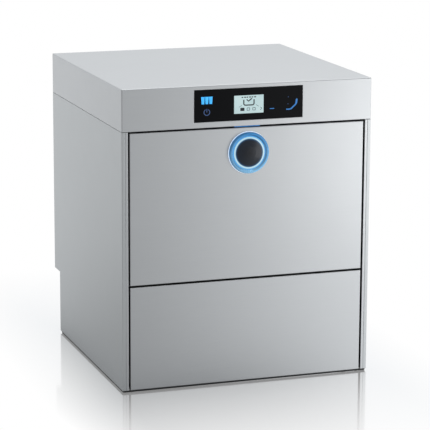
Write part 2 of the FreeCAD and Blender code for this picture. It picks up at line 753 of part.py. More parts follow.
def top_cover():
    body = new_body("top_cover")
    outline = rectangle((-half, half), (front, back))
    extrude(body, "lid_block", "XY_Plane", (lid_z, D.height), [outline])
    round_edges(body, "lid_folds", D.lid_fold_r, lambda p, way: p.z > lid_z.value + 1)
    inner_x = half - D.sheet_t
    inner = rectangle((-inner_x, inner_x), (front + D.sheet_t, back - D.sheet_t))
    pocket(body, "lid_inside", "XY_Plane", (lid_z, D.height - D.sheet_t), [inner])
    lip = rectangle((-inner_x, inner_x), (front + D.sheet_t, front + D.sheet_t + D.lid_lip))
    extrude(body, "lid_lower_lip", "XY_Plane", (lid_z, lid_z + D.sheet_t), [lip])
    glass_top = D.height - D.glass_drop
    window = rectangle(
        (-D.glass_w / 2 - D.glass_fit, D.glass_w / 2 + D.glass_fit),
        (glass_top - D.glass_h - D.glass_fit, glass_top + D.glass_fit),
    )
    pocket(body, "lid_window", "XZ_Plane", (front, front + D.sheet_t), [window])
    return part("top_cover", body)


def tray(name, z, skirt):
    """A folded sheet whose face is at the cabinet's front and whose folds go back."""
    body = new_body(name)
    face = rectangle((-door_x, door_x), z)
    extrude(body, name + "_block", "XZ_Plane", (front, front + skirt), [face])
    round_edges(body, name + "_folds", D.fold_r, lambda p, way: near(p.y, front))
    inner_x = door_x - D.sheet_t
    inner = rectangle((-inner_x, inner_x), (z[0] + D.sheet_t, z[1] - D.sheet_t))
    span = (front + D.sheet_t, front + skirt)
    pocket(body, name + "_inside", "XZ_Plane", span, [inner])
    return body


def rear_panels():
    """The upper back, the ledge and the set-in lower back with its connection holes."""
    inner_x = half - D.sheet_t - D.snug
    upper_y = back - D.sheet_t * 2 - D.snug
    body = new_body("rear_upper")
    face = rectangle((-inner_x, inner_x), (D.step_z + D.sheet_t + D.snug, side_top))
    louvres = []
    for row in range(LOUVRES):
        z = side_top - D.louvre_drop - D.louvre_pitch * row
        louvres.append(rectangle((-D.louvre_w / 2, D.louvre_w / 2), (z, z + D.louvre_h)))
    holes = [disc(x, z, D.screw_r) for x, z in upper_screws()]
    span = (upper_y, upper_y + D.sheet_t)
    extrude(body, "rear_upper_sheet", "XZ_Plane", span, [face] + louvres + holes)
    part("rear_panel_upper", body)

    body = new_body("rear_lower")
    outline = [
        (low_panel_y - D.sheet_t, D.floor_gap), (low_panel_y, D.floor_gap), (low_panel_y, D.step_z),
        (upper_y + D.sheet_t, D.step_z), (upper_y + D.sheet_t, D.step_z + D.sheet_t),
        (low_panel_y - D.sheet_t, D.step_z + D.sheet_t),
    ]
    extrude(body, "rear_lower_sheet", "YZ_Plane", (-inner_x, inner_x), [outline])
    holes = [
        disc(-D.spigot_x, D.spigot_z, D.spigot_r + D.snug),
        disc(D.inlet_x, D.inlet_z, D.inlet_r + D.snug),
        disc(-D.gland_x, D.gland_z, D.gland_r + D.snug),
    ]
    holes += [disc(x, z, D.screw_r) for x, z in lower_screws()]
    span = (low_panel_y - D.sheet_t, low_panel_y)
    pocket(body, "rear_lower_holes", "XZ_Plane", span, holes)
    part("rear_panel_lower", body)


def upper_screws():
    x = half - D.rear_flange / 2
    rows = (D.step_z + D.screw_in, (D.step_z + side_top) / 2, side_top - D.screw_in)
    return [(side, z) for side in (-x, x) for z in rows]


def lower_screws():
    x = half - D.rear_flange / 2
    rows = (D.floor_gap + D.screw_in, D.step_z - D.screw_in)
    return [(side, z) for side in (-x, x) for z in rows]


def panel_screws():
    """Screws that hold the two back panels to the folds of the side panels."""
    screws = []
    places = [(p, back) for p in upper_screws()] + [(p, low_back) for p in lower_screws()]
    for number, ((x, z), y) in enumerate(places):
        name = "screw_%d" % number
        reach = D.sheet_t * 2 + D.snug
        shank = cylinder(name + "_shank", D.screw_r, reach, (x, y - reach, z), "+Y")
        head = cylinder(name + "_head", D.screw_head_r, D.screw_head_t, (x, y, z), "+Y")
        screws.append(fuse(name, head, shank))
    part("panel_screws", together("panel_screws", *screws))


def drill_side_folds():
    """The screw holes in the rear folds of the left side panel, which its mirror image shares."""
    body = PARTS["side_panel_left"]
    upper = [disc(x, z, D.screw_r) for x, z in upper_screws() if x.value < 0]
    pocket(body, "side_upper_holes", "XZ_Plane", (back - D.sheet_t, back), upper)
    lower = [disc(x, z, D.screw_r) for x, z in lower_screws() if x.value < 0]
    pocket(body, "side_lower_holes", "XZ_Plane", (low_back - D.sheet_t, low_back), lower)


def casing():
    both_sides("side_panel", side_panel)
    pair("front_posts", front_post)
    top_cover()
    rear_panels()
    drill_side_folds()
    panel_screws()
    part("lower_front_panel", tray("lower_panel", (D.floor_gap, panel_top), D.panel_skirt))


# Base and feet
def foot_places():
    x = half - D.foot_side
    rows = (("front", front + D.foot_front), ("rear", back - D.foot_back))
    return [(end + side, at, y) for end, y in rows for side, at in (("_left", -x), ("_right", x))]


def base_frame():
    body = new_body("base_frame")
    wide = half - D.sheet_t - D.snug
    narrow = post_x - D.snug
    nose = front + D.panel_skirt + D.door_gap
    shoulder = front + D.post_d + D.door_gap
    tail = low_panel_y - D.sheet_t - D.snug
    outline = [
        (-narrow, nose), (narrow, nose), (narrow, shoulder), (wide, shoulder),
        (wide, tail), (-wide, tail), (-wide, shoulder), (-narrow, shoulder),
    ]
    extrude(body, "base_plate", "XY_Plane", (D.base_z, plate_top), [outline])
    wall = (D.base_z, D.base_z + D.base_wall)
    walls = {
        "base_nose": rectangle((-narrow, narrow), (nose, nose + D.base_t)),
        "base_tail": rectangle((-wide, wide), (tail - D.base_t, tail)),
        "base_left": rectangle((-wide, D.base_t - wide), (shoulder, tail)),
        "base_right": rectangle((wide - D.base_t, wide), (shoulder, tail)),
    }
    for name, loop in walls.items():
        extrude(body, name, "XY_Plane", wall, [loop])
    bushes = [disc(x, y, D.bush_r) for _, x, y in foot_places()]
    extrude(body, "base_bushes", "XY_Plane", (D.base_z, plate_top + D.bush_h), bushes)
    bores = [disc(x, y, D.foot_stud_r + D.running) for _, x, y in foot_places()]
    pocket(body, "base_bores", "XY_Plane", (D.base_z, plate_top + D.bush_h), bores)
    drip = [disc(0, front + D.drip_front, D.drip_r)]
    pocket(body, "base_drip_hole", "XY_Plane", (D.base_z, plate_top), drip)
    anchor = [disc(stud_y(), D.anchor_z, D.stud_r)]
    inner = arm_x + D.slot_clear
    extrude(body, "anchor_right", "YZ_Plane", (inner, wide - D.base_t), anchor)
    extrude(body, "anchor_left", "YZ_Plane", (D.base_t - wide, -inner), anchor)
    around = D.stud_r * 2
    tie = rectangle((stud_y() - around, stud_y() + around), (D.base_z, D.anchor_z + around))
    extrude(body, "tie_right", "YZ_Plane", (wide - D.base_t, wide), [tie])
    extrude(body, "tie_left", "YZ_Plane", (-wide, D.base_t - wide), [tie])
    return part("base_frame", body)


def feet():
    for name, x, y in foot_places():
        profile = [
            (0, 0), (D.foot_r - D.foot_bevel, 0), (D.foot_r, D.foot_bevel),
            (D.foot_r, D.foot_pad_h - D.foot_slope), (D.foot_r - D.foot_slope_w, D.foot_pad_h),
            (D.foot_stud_r, D.foot_pad_h),
            (D.foot_stud_r, D.foot_stud_top), (0, D.foot_stud_top),
        ]
        body = turned("foot_" + name, profile, (x, y, 0))
        corner = D.foot_hex / math.cos(math.pi / 6)
        points = []
        for i in range(6):
            angle = math.radians(60 * i)
            points.append((corner * math.cos(angle), corner * math.sin(angle)))
        span = (D.foot_pad_h - D.foot_sink, D.foot_pad_h + D.foot_hex_h)
        extrude(body, "foot_hex_" + name, "XY_Plane", span, [points])
        part("foot_" + name, body)


# Door
def stud_offset():
    return (D.lever_reach - D.stud_from_tip) * DIAGONAL


def stud_y():
    return axis_y + stud_offset()


def stud_z():
    return axis_z - stud_offset()


def lever_sides():
    """The two spans along X through which the hinge levers pass."""
    inner = arm_x - D.arm_t - D.slot_clear
    outer = arm_x + D.slot_clear
    return ((inner, outer), (-outer, -inner))


def lever_slots(body, name, z, y):
    """Opens a slot on both sides of the door's lower edge for the hinge levers."""
    pocket(body, name, "XY_Plane", z, [rectangle(x, y) for x in lever_sides()])


def door_outer_panel():
    body = tray("door_outer", (D.door_base, door_top), D.door_skirt)
    slot_y = (front + D.sheet_t + D.arm_skin_gap, front + D.door_skirt + PAST)
    lever_slots(body, "door_slot", (D.door_base, D.door_base + D.sheet_t), slot_y)
    hole = [disc(axis_y, axis_z, D.hinge_pin_r + D.pin_room)]
    for side, span in (("left", (-door_x, D.sheet_t - door_x)), ("right", (door_x - D.sheet_t, door_x))):
        pocket(body, "door_pin_hole_" + side, "YZ_Plane", span, hole)
    stem = [disc(0, lid_z - D.lamp_drop, D.lamp_stem_r)]
    pocket(body, "door_lamp_hole", "XZ_Plane", (front, front + D.sheet_t), stem)
    return part("door_outer_panel", body)


def liner_outline(y, z, wall):
    """The liner's section, shrunk by a wall, with its lower back edge bevelled."""
    cut_back = D.liner_cut + wall * (math.sqrt(2) - 1)
    low, high, rear = z[0] + wall, z[1] - wall, y[1] - wall
    return [(y[0], low), (rear - cut_back, low), (rear, low + cut_back), (rear, high), (y[0], high)]


def door_inner_panel():
    """The door's liner: a tray with a raised middle, open to the door's outer skin."""
    body = new_body("door_inner")
    fit = D.sheet_t + D.door_fit
    x = door_x - fit
    z = (D.door_base + fit, door_top - fit)
    rear = front + D.door_t
    nose = rear - D.liner_skirt
    block = liner_outline((nose, rear), z, size(0))
    extrude(body, "liner_block", "YZ_Plane", (-x, x), [block])
    margin = D.emboss_margin
    raised_x = tub_x - margin
    raised_z = (D.mouth_low + margin, mouth_top - margin)
    raised = rectangle((-raised_x, raised_x), raised_z)
    extrude(body, "liner_emboss", "XZ_Plane", (rear, rear + D.emboss_h), [raised])
    far = (rear + D.emboss_h).value
    round_edges(body, "liner_round", D.fold_r, lambda p, way: abs(p.y - far) < 0.01)
    inside = liner_outline((nose, rear), z, D.sheet_t)
    pocket(body, "liner_inside", "YZ_Plane", (D.sheet_t - x, x - D.sheet_t), [inside])
    hollow_x = raised_x - D.sheet_t
    hollow = rectangle((-hollow_x, hollow_x), (raised_z[0] + D.sheet_t, raised_z[1] - D.sheet_t))
    span = (rear - D.sheet_t, rear + D.emboss_h - D.sheet_t)
    pocket(body, "liner_hollow", "XZ_Plane", span, [hollow])
    slot_top = z[0] + D.sheet_t * 2 + D.liner_cut
    lever_slots(body, "liner_slot", (z[0], slot_top), (nose - PAST, rear + PAST))
    return part("door_inner_panel", body)


def hinge_arm():
    """A plate with a leg inside the door, the pin's bore and a lever for the spring."""
    body = new_body("hinge_arm")
    span = (-arm_x, D.arm_t - arm_x)
    leg_y = (front + D.sheet_t + D.arm_skin_gap, front + D.door_t - D.sheet_t - D.arm_skin_gap)
    foot_z = D.door_base + D.sheet_t * 2 + D.door_fit + D.arm_skin_gap
    leg = rectangle(leg_y, (foot_z, foot_z + D.arm_leg))
    extrude(body, "arm_leg", "YZ_Plane", span, [leg])
    wide = D.lever_w / 2 * DIAGONAL
    reach = D.lever_reach * DIAGONAL
    lever = [
        (axis_y - wide / 2, axis_z - wide / 2), (axis_y + reach - wide, axis_z - reach - wide),
        (axis_y + reach + wide, axis_z - reach + wide), (axis_y + wide, axis_z + wide),
    ]
    extrude(body, "arm_lever", "YZ_Plane", span, [lever])
    bore = [disc(axis_y, axis_z, D.hinge_pin_r + D.running)]
    pocket(body, "arm_bore", "YZ_Plane", span, bore)
    stud = [disc(stud_y(), stud_z(), D.stud_r)]
    extrude(body, "arm_stud", "YZ_Plane", (-arm_x - D.stud_reach, -arm_x), stud)
    return body


def hinge_pins():
    """The two pins, fixed in the posts, on which the door turns."""
    pins = []
    inner = arm_x - D.arm_t - D.arm_skin_gap
    outer = post_x + D.sheet_t
    for name, way, axis in (("left", -1, "-X"), ("right", 1, "+X")):
        stem = cylinder(
            "pin_stem_" + name, D.hinge_pin_r, outer - inner, (inner * way, axis_y, axis_z), axis
        )
        head = cylinder(
            "pin_head_" + name, D.pin_head_r, D.pin_head_t, (outer * way, axis_y, axis_z), axis
        )
        pins.append(fuse("hinge_pin_" + name, stem, head))
    part("hinge_pins", together("hinge_pins", *pins))


def coil_spring(name, x):
    """An extension spring with straight leads on its axis, between stud and anchor."""
    low = D.anchor_z.value + D.stud_r.value
    high = stud_z().value - D.stud_r.value
    lead = D.spring_lead.value
    radius = D.spring_coil_r.value
    wire = D.spring_wire_r.value
    turns = int((high - low - 2 * lead) / D.spring_pitch.value)
    pitch = (high - low - 2 * lead) / turns
    helix = Part.makeHelix(pitch, pitch * turns, radius)
    helix.translate(FreeCAD.Vector(0, 0, low + lead))
    start = helix.Edges[0].valueAt(helix.Edges[0].FirstParameter)
    way = helix.Edges[0].tangentAt(helix.Edges[0].FirstParameter)
    ring = Part.Wire([Part.Circle(start, way, wire).toShape()])
    coil = Part.Wire(helix.Edges).makePipeShell([ring], True, True)
    shape = coil
    up = FreeCAD.Vector(0, 0, 1)
    for z, length, knee in ((low, lead, low + lead), (high - lead, lead, high - lead)):
        lead_wire = Part.makeCylinder(wire, length, FreeCAD.Vector(0, 0, z), up)
        spoke = Part.makeCylinder(wire, radius, FreeCAD.Vector(0, 0, knee), FreeCAD.Vector(1, 0, 0))
        shape = shape.fuse(lead_wire).fuse(spoke).fuse(
            Part.makeSphere(wire, FreeCAD.Vector(0, 0, knee))
        )
    shape.translate(FreeCAD.Vector(x, stud_y().value, 0))
    obj = doc.addObject("Part::Feature", name)
    obj.Shape = shape
    return obj


def door_springs():
    x = (arm_x + D.stud_reach / 2 + D.spring_side).value
    springs = [coil_spring("spring_left", -x), coil_spring("spring_right", x)]
    part("door_springs", together("door_springs", *springs))


def status_lamp():
    """A round lamp on the door: bezel with a stem through the skin, and a domed lens."""
    centre_z = lid_z - D.lamp_drop
    rounding = D.bezel_round
    step = rounding * (1 - DIAGONAL)
    stem_in = D.lamp_stem_r - D.stem_wall
    profile = [
        (stem_in, -D.sheet_t * 3), (D.lamp_stem_r, -D.sheet_t * 3), (D.lamp_stem_r, 0),
        (D.lamp_r, 0), (D.lamp_r, D.lamp_proud - rounding),
        (D.lamp_r - step, D.lamp_proud - step), (D.lamp_r - rounding, D.lamp_proud),
        (D.lens_r + rounding, D.lamp_proud), (D.lens_r, D.lamp_proud - rounding),
        (D.lens_r, D.lens_seat), (stem_in, D.lens_seat),
    ]
    bezel = turned("lamp_bezel", profile, (0, front, centre_z), "-Y")
    part("status_lamp_bezel", bezel)
    edge = D.lens_r - D.snug
    base = D.lamp_proud - rounding - D.lens_sink
    profile = [(0, D.lens_seat), (edge, D.lens_seat)]
    for share in (1, 0.8, 0.6, 0.4, 0.2, 0):
        profile.append((edge * share, base + (D.lens_crown + D.lens_sink) * (1 - share ** 2)))
    lens = turned("lamp_lens", profile, (0, front, centre_z), "-Y")
    part("status_lamp_lens", lens)


def door_light_bar():
    y = (front + D.bar_in, front + D.bar_in + D.bar_d)
    bar = box("light_bar", (-D.bar_w / 2, D.bar_w / 2), y, (door_top, door_top + D.bar_h))
    part("door_light_bar", bar)


def door():
    door_outer_panel()
    door_inner_panel()
    pair("hinge_arms", hinge_arm)
    hinge_pins()
    door_springs()
    status_lamp()
    door_light_bar()


# Wash chamber and tank
def wash_chamber():
    """A box of sheet, open at the front behind a flange that carries the door seal."""
    body = new_body("wash_chamber")
    shell_x = tub_x + D.tub_t
    shell = rectangle((-shell_x, shell_x), (D.tub_floor - D.tub_t, tub_top + D.tub_t))
    extrude(body, "tub_block", "XZ_Plane", (tub_front, tub_back + D.tub_t), [shell])
    round_edges(body, "tub_outer_round", D.tub_r + D.tub_t, lambda p, way: abs(way.y) > 0.9)
    lip_x = post_x - D.snug
    lip_y = tub_front - D.tub_t
    lip_top = lid_z - D.flange_drop
    lip = rectangle((-lip_x, lip_x), (D.tub_floor - D.tub_t, lip_top))
    extrude(body, "tub_lip", "XZ_Plane", (lip_y, tub_front), [lip])
    brow = rectangle((-shell_x, shell_x), (lip_top, tub_top + D.tub_t))
    extrude(body, "tub_brow", "XZ_Plane", (lip_y, tub_front), [brow])
    through_flange = (lip_y - PAST, tub_front + PAST)
    mouth = box("tub_mouth", (-tub_x, tub_x), through_flange, (D.mouth_low, mouth_top))
    room = box("tub_room", (-tub_x, tub_x), (tub_front, tub_back), (D.tub_floor, tub_top))
    doc.recompute()
    soft_mouth = rounded(mouth, "tub_mouth_round", D.tub_r, lambda p, way: abs(way.y) > 0.9)
    soft_room = rounded(room, "tub_room_round", D.tub_r, lambda p, way: abs(way.y) > 0.9)
    below = D.tub_floor - D.tub_t * 2
    well = box("tub_well", (-well_x, well_x), well_y, (below, D.tub_floor + D.tub_t))
    doc.recompute()
    soft_well = rounded(well, "tub_well_round", D.well_r, lambda p, way: abs(way.z) > 0.9)
    head = cylinder("tub_head_hole", D.spindle_r, D.tub_t * 4, (0, hub_y, tub_top - D.tub_t))
    top = axis_z + (D.lever_reach + D.lever_w) * DIAGONAL
    right_x, left_x = lever_sides()
    right_slot = box("lever_slot_right", right_x, through_flange, (below, top))
    left_slot = box("lever_slot_left", left_x, through_flange, (below, top))
    tools = (soft_mouth, soft_room, soft_well, head, right_slot, left_slot)
    part("wash_chamber", cut("wash_chamber_cut", body, *tools))


def rounded(source, name, radius, test):
    """A block with some of its edges rounded."""
    obj = doc.addObject("Part::Fillet", name)
    obj.Base = source
    edges = []
    for number, edge in enumerate(source.Shape.Edges, 1):
        middle = edge.valueAt((edge.FirstParameter + edge.LastParameter) / 2)
        way = edge.tangentAt((edge.FirstParameter + edge.LastParameter) / 2)
        if test(middle, way):
            edges.append((number, radius.value, radius.value))
    obj.Edges = edges
    return obj


def wash_tank():
    """The water tank under the chamber floor, with holes for the spindle and the suction."""
    wall = D.tub_t
    top = D.tub_floor - wall
    outer = box(
        "tank_outer", (-well_x - wall, well_x + wall), (well_y[0] - wall, well_y[1] + wall),
        (D.well_floor - wall, top),
    )
    inner = box("tank_inner", (-well_x, well_x), well_y, (D.well_floor, top + wall))
    rim = box(
        "tank_rim", (-well_x - D.well_rim, well_x + D.well_rim),
        (well_y[0] - D.well_rim, well_y[1] + D.well_rim), (top - wall, top),
    )
    doc.recompute()

    def upright(p, way):
        return abs(way.z) > 0.9

    soft_outer = rounded(outer, "tank_outer_round", D.well_r + wall, upright)
    soft_inner = rounded(inner, "tank_inner_round", D.well_r, upright)
    spindle = cylinder("tank_spindle_hole", D.spindle_r, wall * 4, (0, hub_y, D.well_floor - wall * 2))
    low = D.well_floor - wall - D.suction_spigot
    spout = cylinder("tank_spout", D.suction_r - D.suction_wall, D.suction_spigot, (basket_x, hub_y, low))
    bore = cylinder(
        "tank_spout_bore", D.suction_r - D.suction_wall - wall, D.suction_spigot + wall * 3,
        (basket_x, hub_y, low - wall),
    )
    rods = []
    for side in (-1, 1):
        at = (heater_x() * side, well_y[1] - wall, heater_z())
        rods.append(cylinder("tank_rod_hole_%d" % (side + 1), D.rod_r, wall * 3, at, "+Y"))
    shell = fuse("tank_shell", soft_outer, rim, spout)
    part("wash_tank", cut("tank_cut", shell, soft_inner, spindle, bore, *rods))


def door_seal():
    y = (front + D.door_t + D.seal_gap, tub_front - D.tub_t)
    low = D.mouth_low - D.seal_in
    high = mouth_top + D.seal_in
    x = tub_x + D.seal_in
    edge = D.seal_w
    outer = box("seal_outer", (-x - edge, x + edge), y, (low - edge, high + edge))
    inner = box("seal_inner", (-x, x), (y[0] - PAST, y[1] + PAST), (low, high))
    doc.recompute()

    def through(p, way):
        return abs(way.y) > 0.9

    soft_outer = rounded(outer, "seal_outer_round", D.tub_r + edge, through)
    soft_inner = rounded(inner, "seal_inner_round", D.tub_r, through)
    part("door_seal", cut("seal_cut", soft_outer, soft_inner))


def rack_rail():
    """An angle that carries the rack, stood off the chamber wall on two blocks."""
    y = (tub_front + D.rail_end, tub_back - D.rail_end)
    wall_x = -tub_x + D.rail_off
    shelf = box("rail_shelf", (wall_x, wall_x + D.rail_w), y, (D.rail_top - D.rail_t, D.rail_top))
    leg = box(
        "rail_leg", (wall_x, wall_x + D.rail_t), y, (D.rail_top - D.rail_t, D.rail_top + D.rail_h)
    )
    z = D.rail_top + D.rail_h / 2
    blocks = []
    for number, share in enumerate((0.15, 0.85)):
        at_y = y[0] + (y[1] - y[0]) * share
        at = (-tub_x, at_y, z)
        blocks.append(cylinder("rail_block_%d" % number, D.rail_block_r, D.rail_off, at, "+X"))
    return fuse("rack_rail", shelf, leg, *blocks)


def strainer_plates():
    """Two perforated plates over the tank, cut out for the spindle and the basket."""
    lap = D.plate_lap
    z = (D.tub_floor, D.tub_floor + D.plate_t)
    y = (well_y[0] - lap, well_y[1] + lap)
    plates = []
    seam = D.plate_seam / 2
    hub_ring = D.spindle_r.value + D.hub_margin.value
    basket_ring = D.basket_r.value + D.basket_margin.value
    for name, x in (("left", (-well_x - lap, -seam)), ("right", (seam, well_x + lap))):
        body = new_body("plate_" + name)
        extrude(body, "plate_sheet_" + name, "XY_Plane", z, [rectangle(x, y)])
        holes = [disc(0, hub_y, D.spindle_r + D.plate_hub_gap)]
        pocket(body, "plate_spindle_" + name, "XY_Plane", z, holes)
        if name == "right":
            basket = [disc(basket_x, hub_y, D.basket_r + D.plate_basket_gap)]
            pocket(body, "plate_basket", "XY_Plane", z, basket)
        margins = D.plate_margin * 2
        count_x = int((x[1] - x[0] - margins).value / D.hole_pitch.value)
        count_y = int((y[1] - y[0] - margins).value / D.hole_pitch.value)
        middle_x = (x[0] + x[1]) / 2
        middle_y = (y[0] + y[1]) / 2
        dots = []
        for i in range(count_x):
            for j in range(0, count_y, 2):
                dx = D.hole_pitch * (i - (count_x - 1) / 2)
                dy = D.hole_pitch * (j - (count_y - 1) / 2)
                at = (middle_x + dx, middle_y + dy)
                clear_hub = math.hypot(at[0].value, at[1].value - hub_y.value)
                clear_basket = math.hypot(at[0].value - basket_x.value, at[1].value - hub_y.value)
                if clear_hub > hub_ring and clear_basket > basket_ring:
                    dots.append(disc(at[0], at[1], D.hole_r))
        pocket(body, "plate_holes_" + name, "XY_Plane", z, dots)
        plates.append(body)
    part("strainer_plates", together("strainer_plates", *plates))


def strainer_basket():
    """The lift-out basket over the suction, with a flat rim on the plates."""
    wall = D.plate_t
    top = D.tub_floor + D.plate_t
    foot = D.well_floor + D.basket_lift
    r = D.basket_r
    low_r = r - D.basket_taper
    profile = [
        (0, foot), (low_r, foot), (r, top), (r + D.basket_rim, top),
        (r + D.basket_rim, top + wall), (r - wall, top + wall), (low_r - wall, foot + wall),
        (0, foot + wall),
    ]
    body = turned("strainer_basket", profile, (basket_x, hub_y, 0))
    dots = [disc(0, 0, D.basket_hole_r)]
    for ring in (1, 2):
        away = D.basket_ring * ring
        count = 6 * ring
        for i in range(count):
            angle = 2 * math.pi * i / count
            dots.append(disc(away * math.cos(angle), away * math.sin(angle), D.basket_hole_r))
    pocket(body, "basket_holes", "XY_Plane", (foot, foot + wall), dots)
    part("strainer_basket", body)


# Spindles and turning arms, modelled upwards from the collar's face
def spindle(label, at, axis, tail, flange):
    """A hollow spindle: collar, wash arm seat, rinse arm seat and nut seat."""
    wash_top = D.wash_seat_h
    rinse_top = wash_top + D.rinse_seat_h
    tip = rinse_top + D.nut_h
    neck = D.nut_seat_r - D.jet_wall
    wide = D.collar_r + D.flange_w
    under = -flange - D.flange_t
    profile = [
        (D.spindle_bore, -tail), (D.spindle_r, -tail), (D.spindle_r, under),
        (wide, under), (wide, -flange), (D.spindle_r, -flange),
        (D.spindle_r, -D.collar_t), (D.collar_r, -D.collar_t), (D.collar_r, 0),
        (D.spindle_r, 0), (D.spindle_r, wash_top), (D.rinse_seat_r, wash_top),
        (D.rinse_seat_r, rinse_top), (D.nut_seat_r, rinse_top), (D.nut_seat_r, tip), (neck, tip),
        (neck, wash_top - D.jet_wall), (D.spindle_bore, wash_top - D.jet_wall),
    ]
    part(label, turned(label, profile, at, axis))


def arm_reach():
    across = smallest(tub_x, (tub_back - tub_front) / 2)
    return across - D.arm_clear


def wash_arm(label, at, axis):
    body = new_body(label, at, axis)
    hub_z = (D.axial, D.wash_seat_h - D.axial)
    extrude(body, label + "_hub", "XY_Plane", hub_z, [disc(0, 0, D.wash_hub_r)])
    reach = arm_reach()
    root, tip = D.wash_root, D.wash_tip
    near_tip = reach - D.tip_bevel
    end = tip - D.tip_cut
    outline = [
        (-reach, -end), (-near_tip, -tip), (size(0), -root), (near_tip, -tip), (reach, -end),
        (reach, end), (near_tip, tip), (size(0), root), (-near_tip, tip), (-reach, end),
    ]
    low = (D.wash_seat_h - D.wash_arm_h) / 2
    extrude(body, label + "_tube", "XY_Plane", (low, low + D.wash_arm_h), [outline])
    bore = [disc(0, 0, D.spindle_r + D.running)]
    pocket(body, label + "_bore", "XY_Plane", hub_z, bore)
    slots = []
    for share in (0.26, 0.43, 0.6, 0.77, 0.94):
        for side in (-1, 1):
            x = reach * share * side
            half_w, half_l = D.nozzle_w / 2, D.nozzle_l / 2
            slots.append(rectangle((x - half_w, x + half_w), (-half_l, half_l)))
    top = low + D.wash_arm_h
    pocket(body, label + "_nozzles", "XY_Plane", (top - D.nozzle_deep, top), slots)
    part(label, body)


def rinse_arm(label, at, axis):
    body = new_body(label, at, axis)
    base = D.wash_seat_h
    hub_z = (base + D.axial, base + D.rinse_seat_h - D.axial)
    extrude(body, label + "_hub", "XY_Plane", hub_z, [disc(0, 0, D.rinse_hub_r)])
    reach = arm_reach() - D.rinse_short
    middle = base + D.rinse_seat_h / 2
    tube_loop = [disc(0, middle, D.rinse_tube_r)]
    extrude(body, label + "_tube", "XZ_Plane", (-reach, reach), tube_loop)
    bore = [disc(0, 0, D.rinse_seat_r + D.running)]
    pocket(body, label + "_bore", "XY_Plane", (base, base + D.rinse_seat_h), bore)
    jets = []
    for share in (0.2, 0.35, 0.5, 0.65, 0.8, 0.95):
        for side in (-1, 1):
            jets.append(disc(0, reach * share * side, D.jet_r))
    top = middle + D.rinse_tube_r
    pocket(body, label + "_jets", "XY_Plane", (top - D.jet_deep, top + PAST), jets)
    part(label, body)


def arm_nut(name, at, axis):
    body = new_body(name, at, axis)
    base = D.wash_seat_h + D.rinse_seat_h
    span = (base + D.axial, base + D.nut_h)
    extrude(body, name + "_body", "XY_Plane", span, [disc(0, 0, D.nut_r)])
    bore = [disc(0, 0, D.nut_seat_r)]
    pocket(body, name + "_bore", "XY_Plane", span, bore)
    grips = []
    ring = D.nut_r + D.grip_out
    for i in range(NUT_GRIPS):
        angle = 2 * math.pi * i / NUT_GRIPS
        grips.append(disc(ring * math.cos(angle), ring * math.sin(angle), D.grip_r))
    pocket(body, name + "_grips", "XY_Plane", span, grips)
    return body


def wash_system():
    low = (size(0), hub_y, D.collar_z)
    high = (size(0), hub_y, tub_top - D.collar_t)
    to_floor = D.collar_z - D.well_floor - D.flange_t
    spindle("lower_spindle", low, "+Z", D.collar_z - D.feed_top, to_floor)
    tail = D.collar_t + D.tub_t + D.head_rise
    spindle("upper_spindle", high, "-Z", tail, D.collar_t + D.tub_t)
    for name, at, axis in (("lower", low, "+Z"), ("upper", high, "-Z")):
        wash_arm(name + "_wash_arm", at, axis)
        rinse_arm(name + "_rinse_arm", at, axis)
    nuts = [arm_nut("nut_lower", low, "+Z"), arm_nut("nut_upper", high, "-Z")]
    part("arm_nuts", together("arm_nuts", *nuts))


# Pumps, pipes and heaters
def heater_x():
    return well_x - D.heater_side


def heater_z():
    return D.well_floor + D.heater_up


def wash_pump_housing():
    """A round casing with an inlet at its side, an outlet on top and a feed at its front."""
    w = D.volute_w / 2
    wall = D.volute_t
    pipe, bore = D.spindle_r, D.spindle_bore
    y, z = pump_y, pump_z
    rise = outlet_top - z
    feed_l = D.volute_r / 2 + D.feed_spigot
    spigot_r = D.suction_r - D.suction_wall
    casing = cylinder("volute_outer", D.volute_r, D.volute_w, (-w, y, z), "+X")
    inlet = cylinder("volute_inlet", spigot_r, D.suction_spigot, (w, y, z), "+X")
    outlet = cylinder("volute_outlet", pipe, rise, (size(0), outlet_y, z))
    feed = cylinder("volute_feed", pipe, feed_l, (size(0), feed_y, D.feed_z), "+Y")
    room = cylinder("volute_room", D.volute_r - wall, D.volute_w - wall * 2, (wall - w, y, z), "+X")
    inlet_bore = cylinder(
        "inlet_way", spigot_r - D.suction_wall, D.suction_spigot + wall * 2,
        (w - wall * 1.5, y, z), "+X",
    )
    outlet_bore = cylinder("outlet_way", bore, rise + PAST, (size(0), outlet_y, z))
    feed_bore = cylinder("feed_way", bore, feed_l, (size(0), feed_y, D.feed_z), "+Y")
    shaft = cylinder("volute_shaft", D.shaft_r + PAST, wall * 3, (-w - wall, y, z), "+X")
    shell = fuse("volute_shell", casing, inlet, outlet, feed)
    tools = (room, inlet_bore, outlet_bore, feed_bore, shaft)
    part("wash_pump_housing", cut("volute_cut", shell, *tools))


def motor_ends():
    near_x = -D.volute_w / 2 - D.motor_gap
    return near_x - D.motor_l, near_x


def wash_pump_motor():
    y, z = pump_y, pump_z
    far_x = motor_ends()[0]
    can = cylinder("motor_can", D.motor_r, D.motor_l, (far_x, y, z), "+X")
    ribs = []
    for i in range(MOTOR_RIBS):
        angle = 2 * math.pi * i / MOTOR_RIBS
        at = (far_x + D.rib_in, y + D.motor_r * math.cos(angle), z + D.motor_r * math.sin(angle))
        ribs.append(cylinder("motor_rib_%d" % i, D.rib_r, D.motor_l - D.rib_in * 2, at, "+X"))
    hollow = cylinder(
        "motor_hollow", D.motor_r - D.motor_wall, D.motor_l - D.motor_wall * 2,
        (far_x + D.motor_wall, y, z), "+X",
    )
    bearing = cylinder(
        "motor_bearing", D.shaft_r + D.running, D.motor_l, (far_x + D.bearing_in, y, z), "+X"
    )
    part("wash_pump_motor", cut("motor_cut", fuse("motor_ribbed", can, *ribs), hollow, bearing))


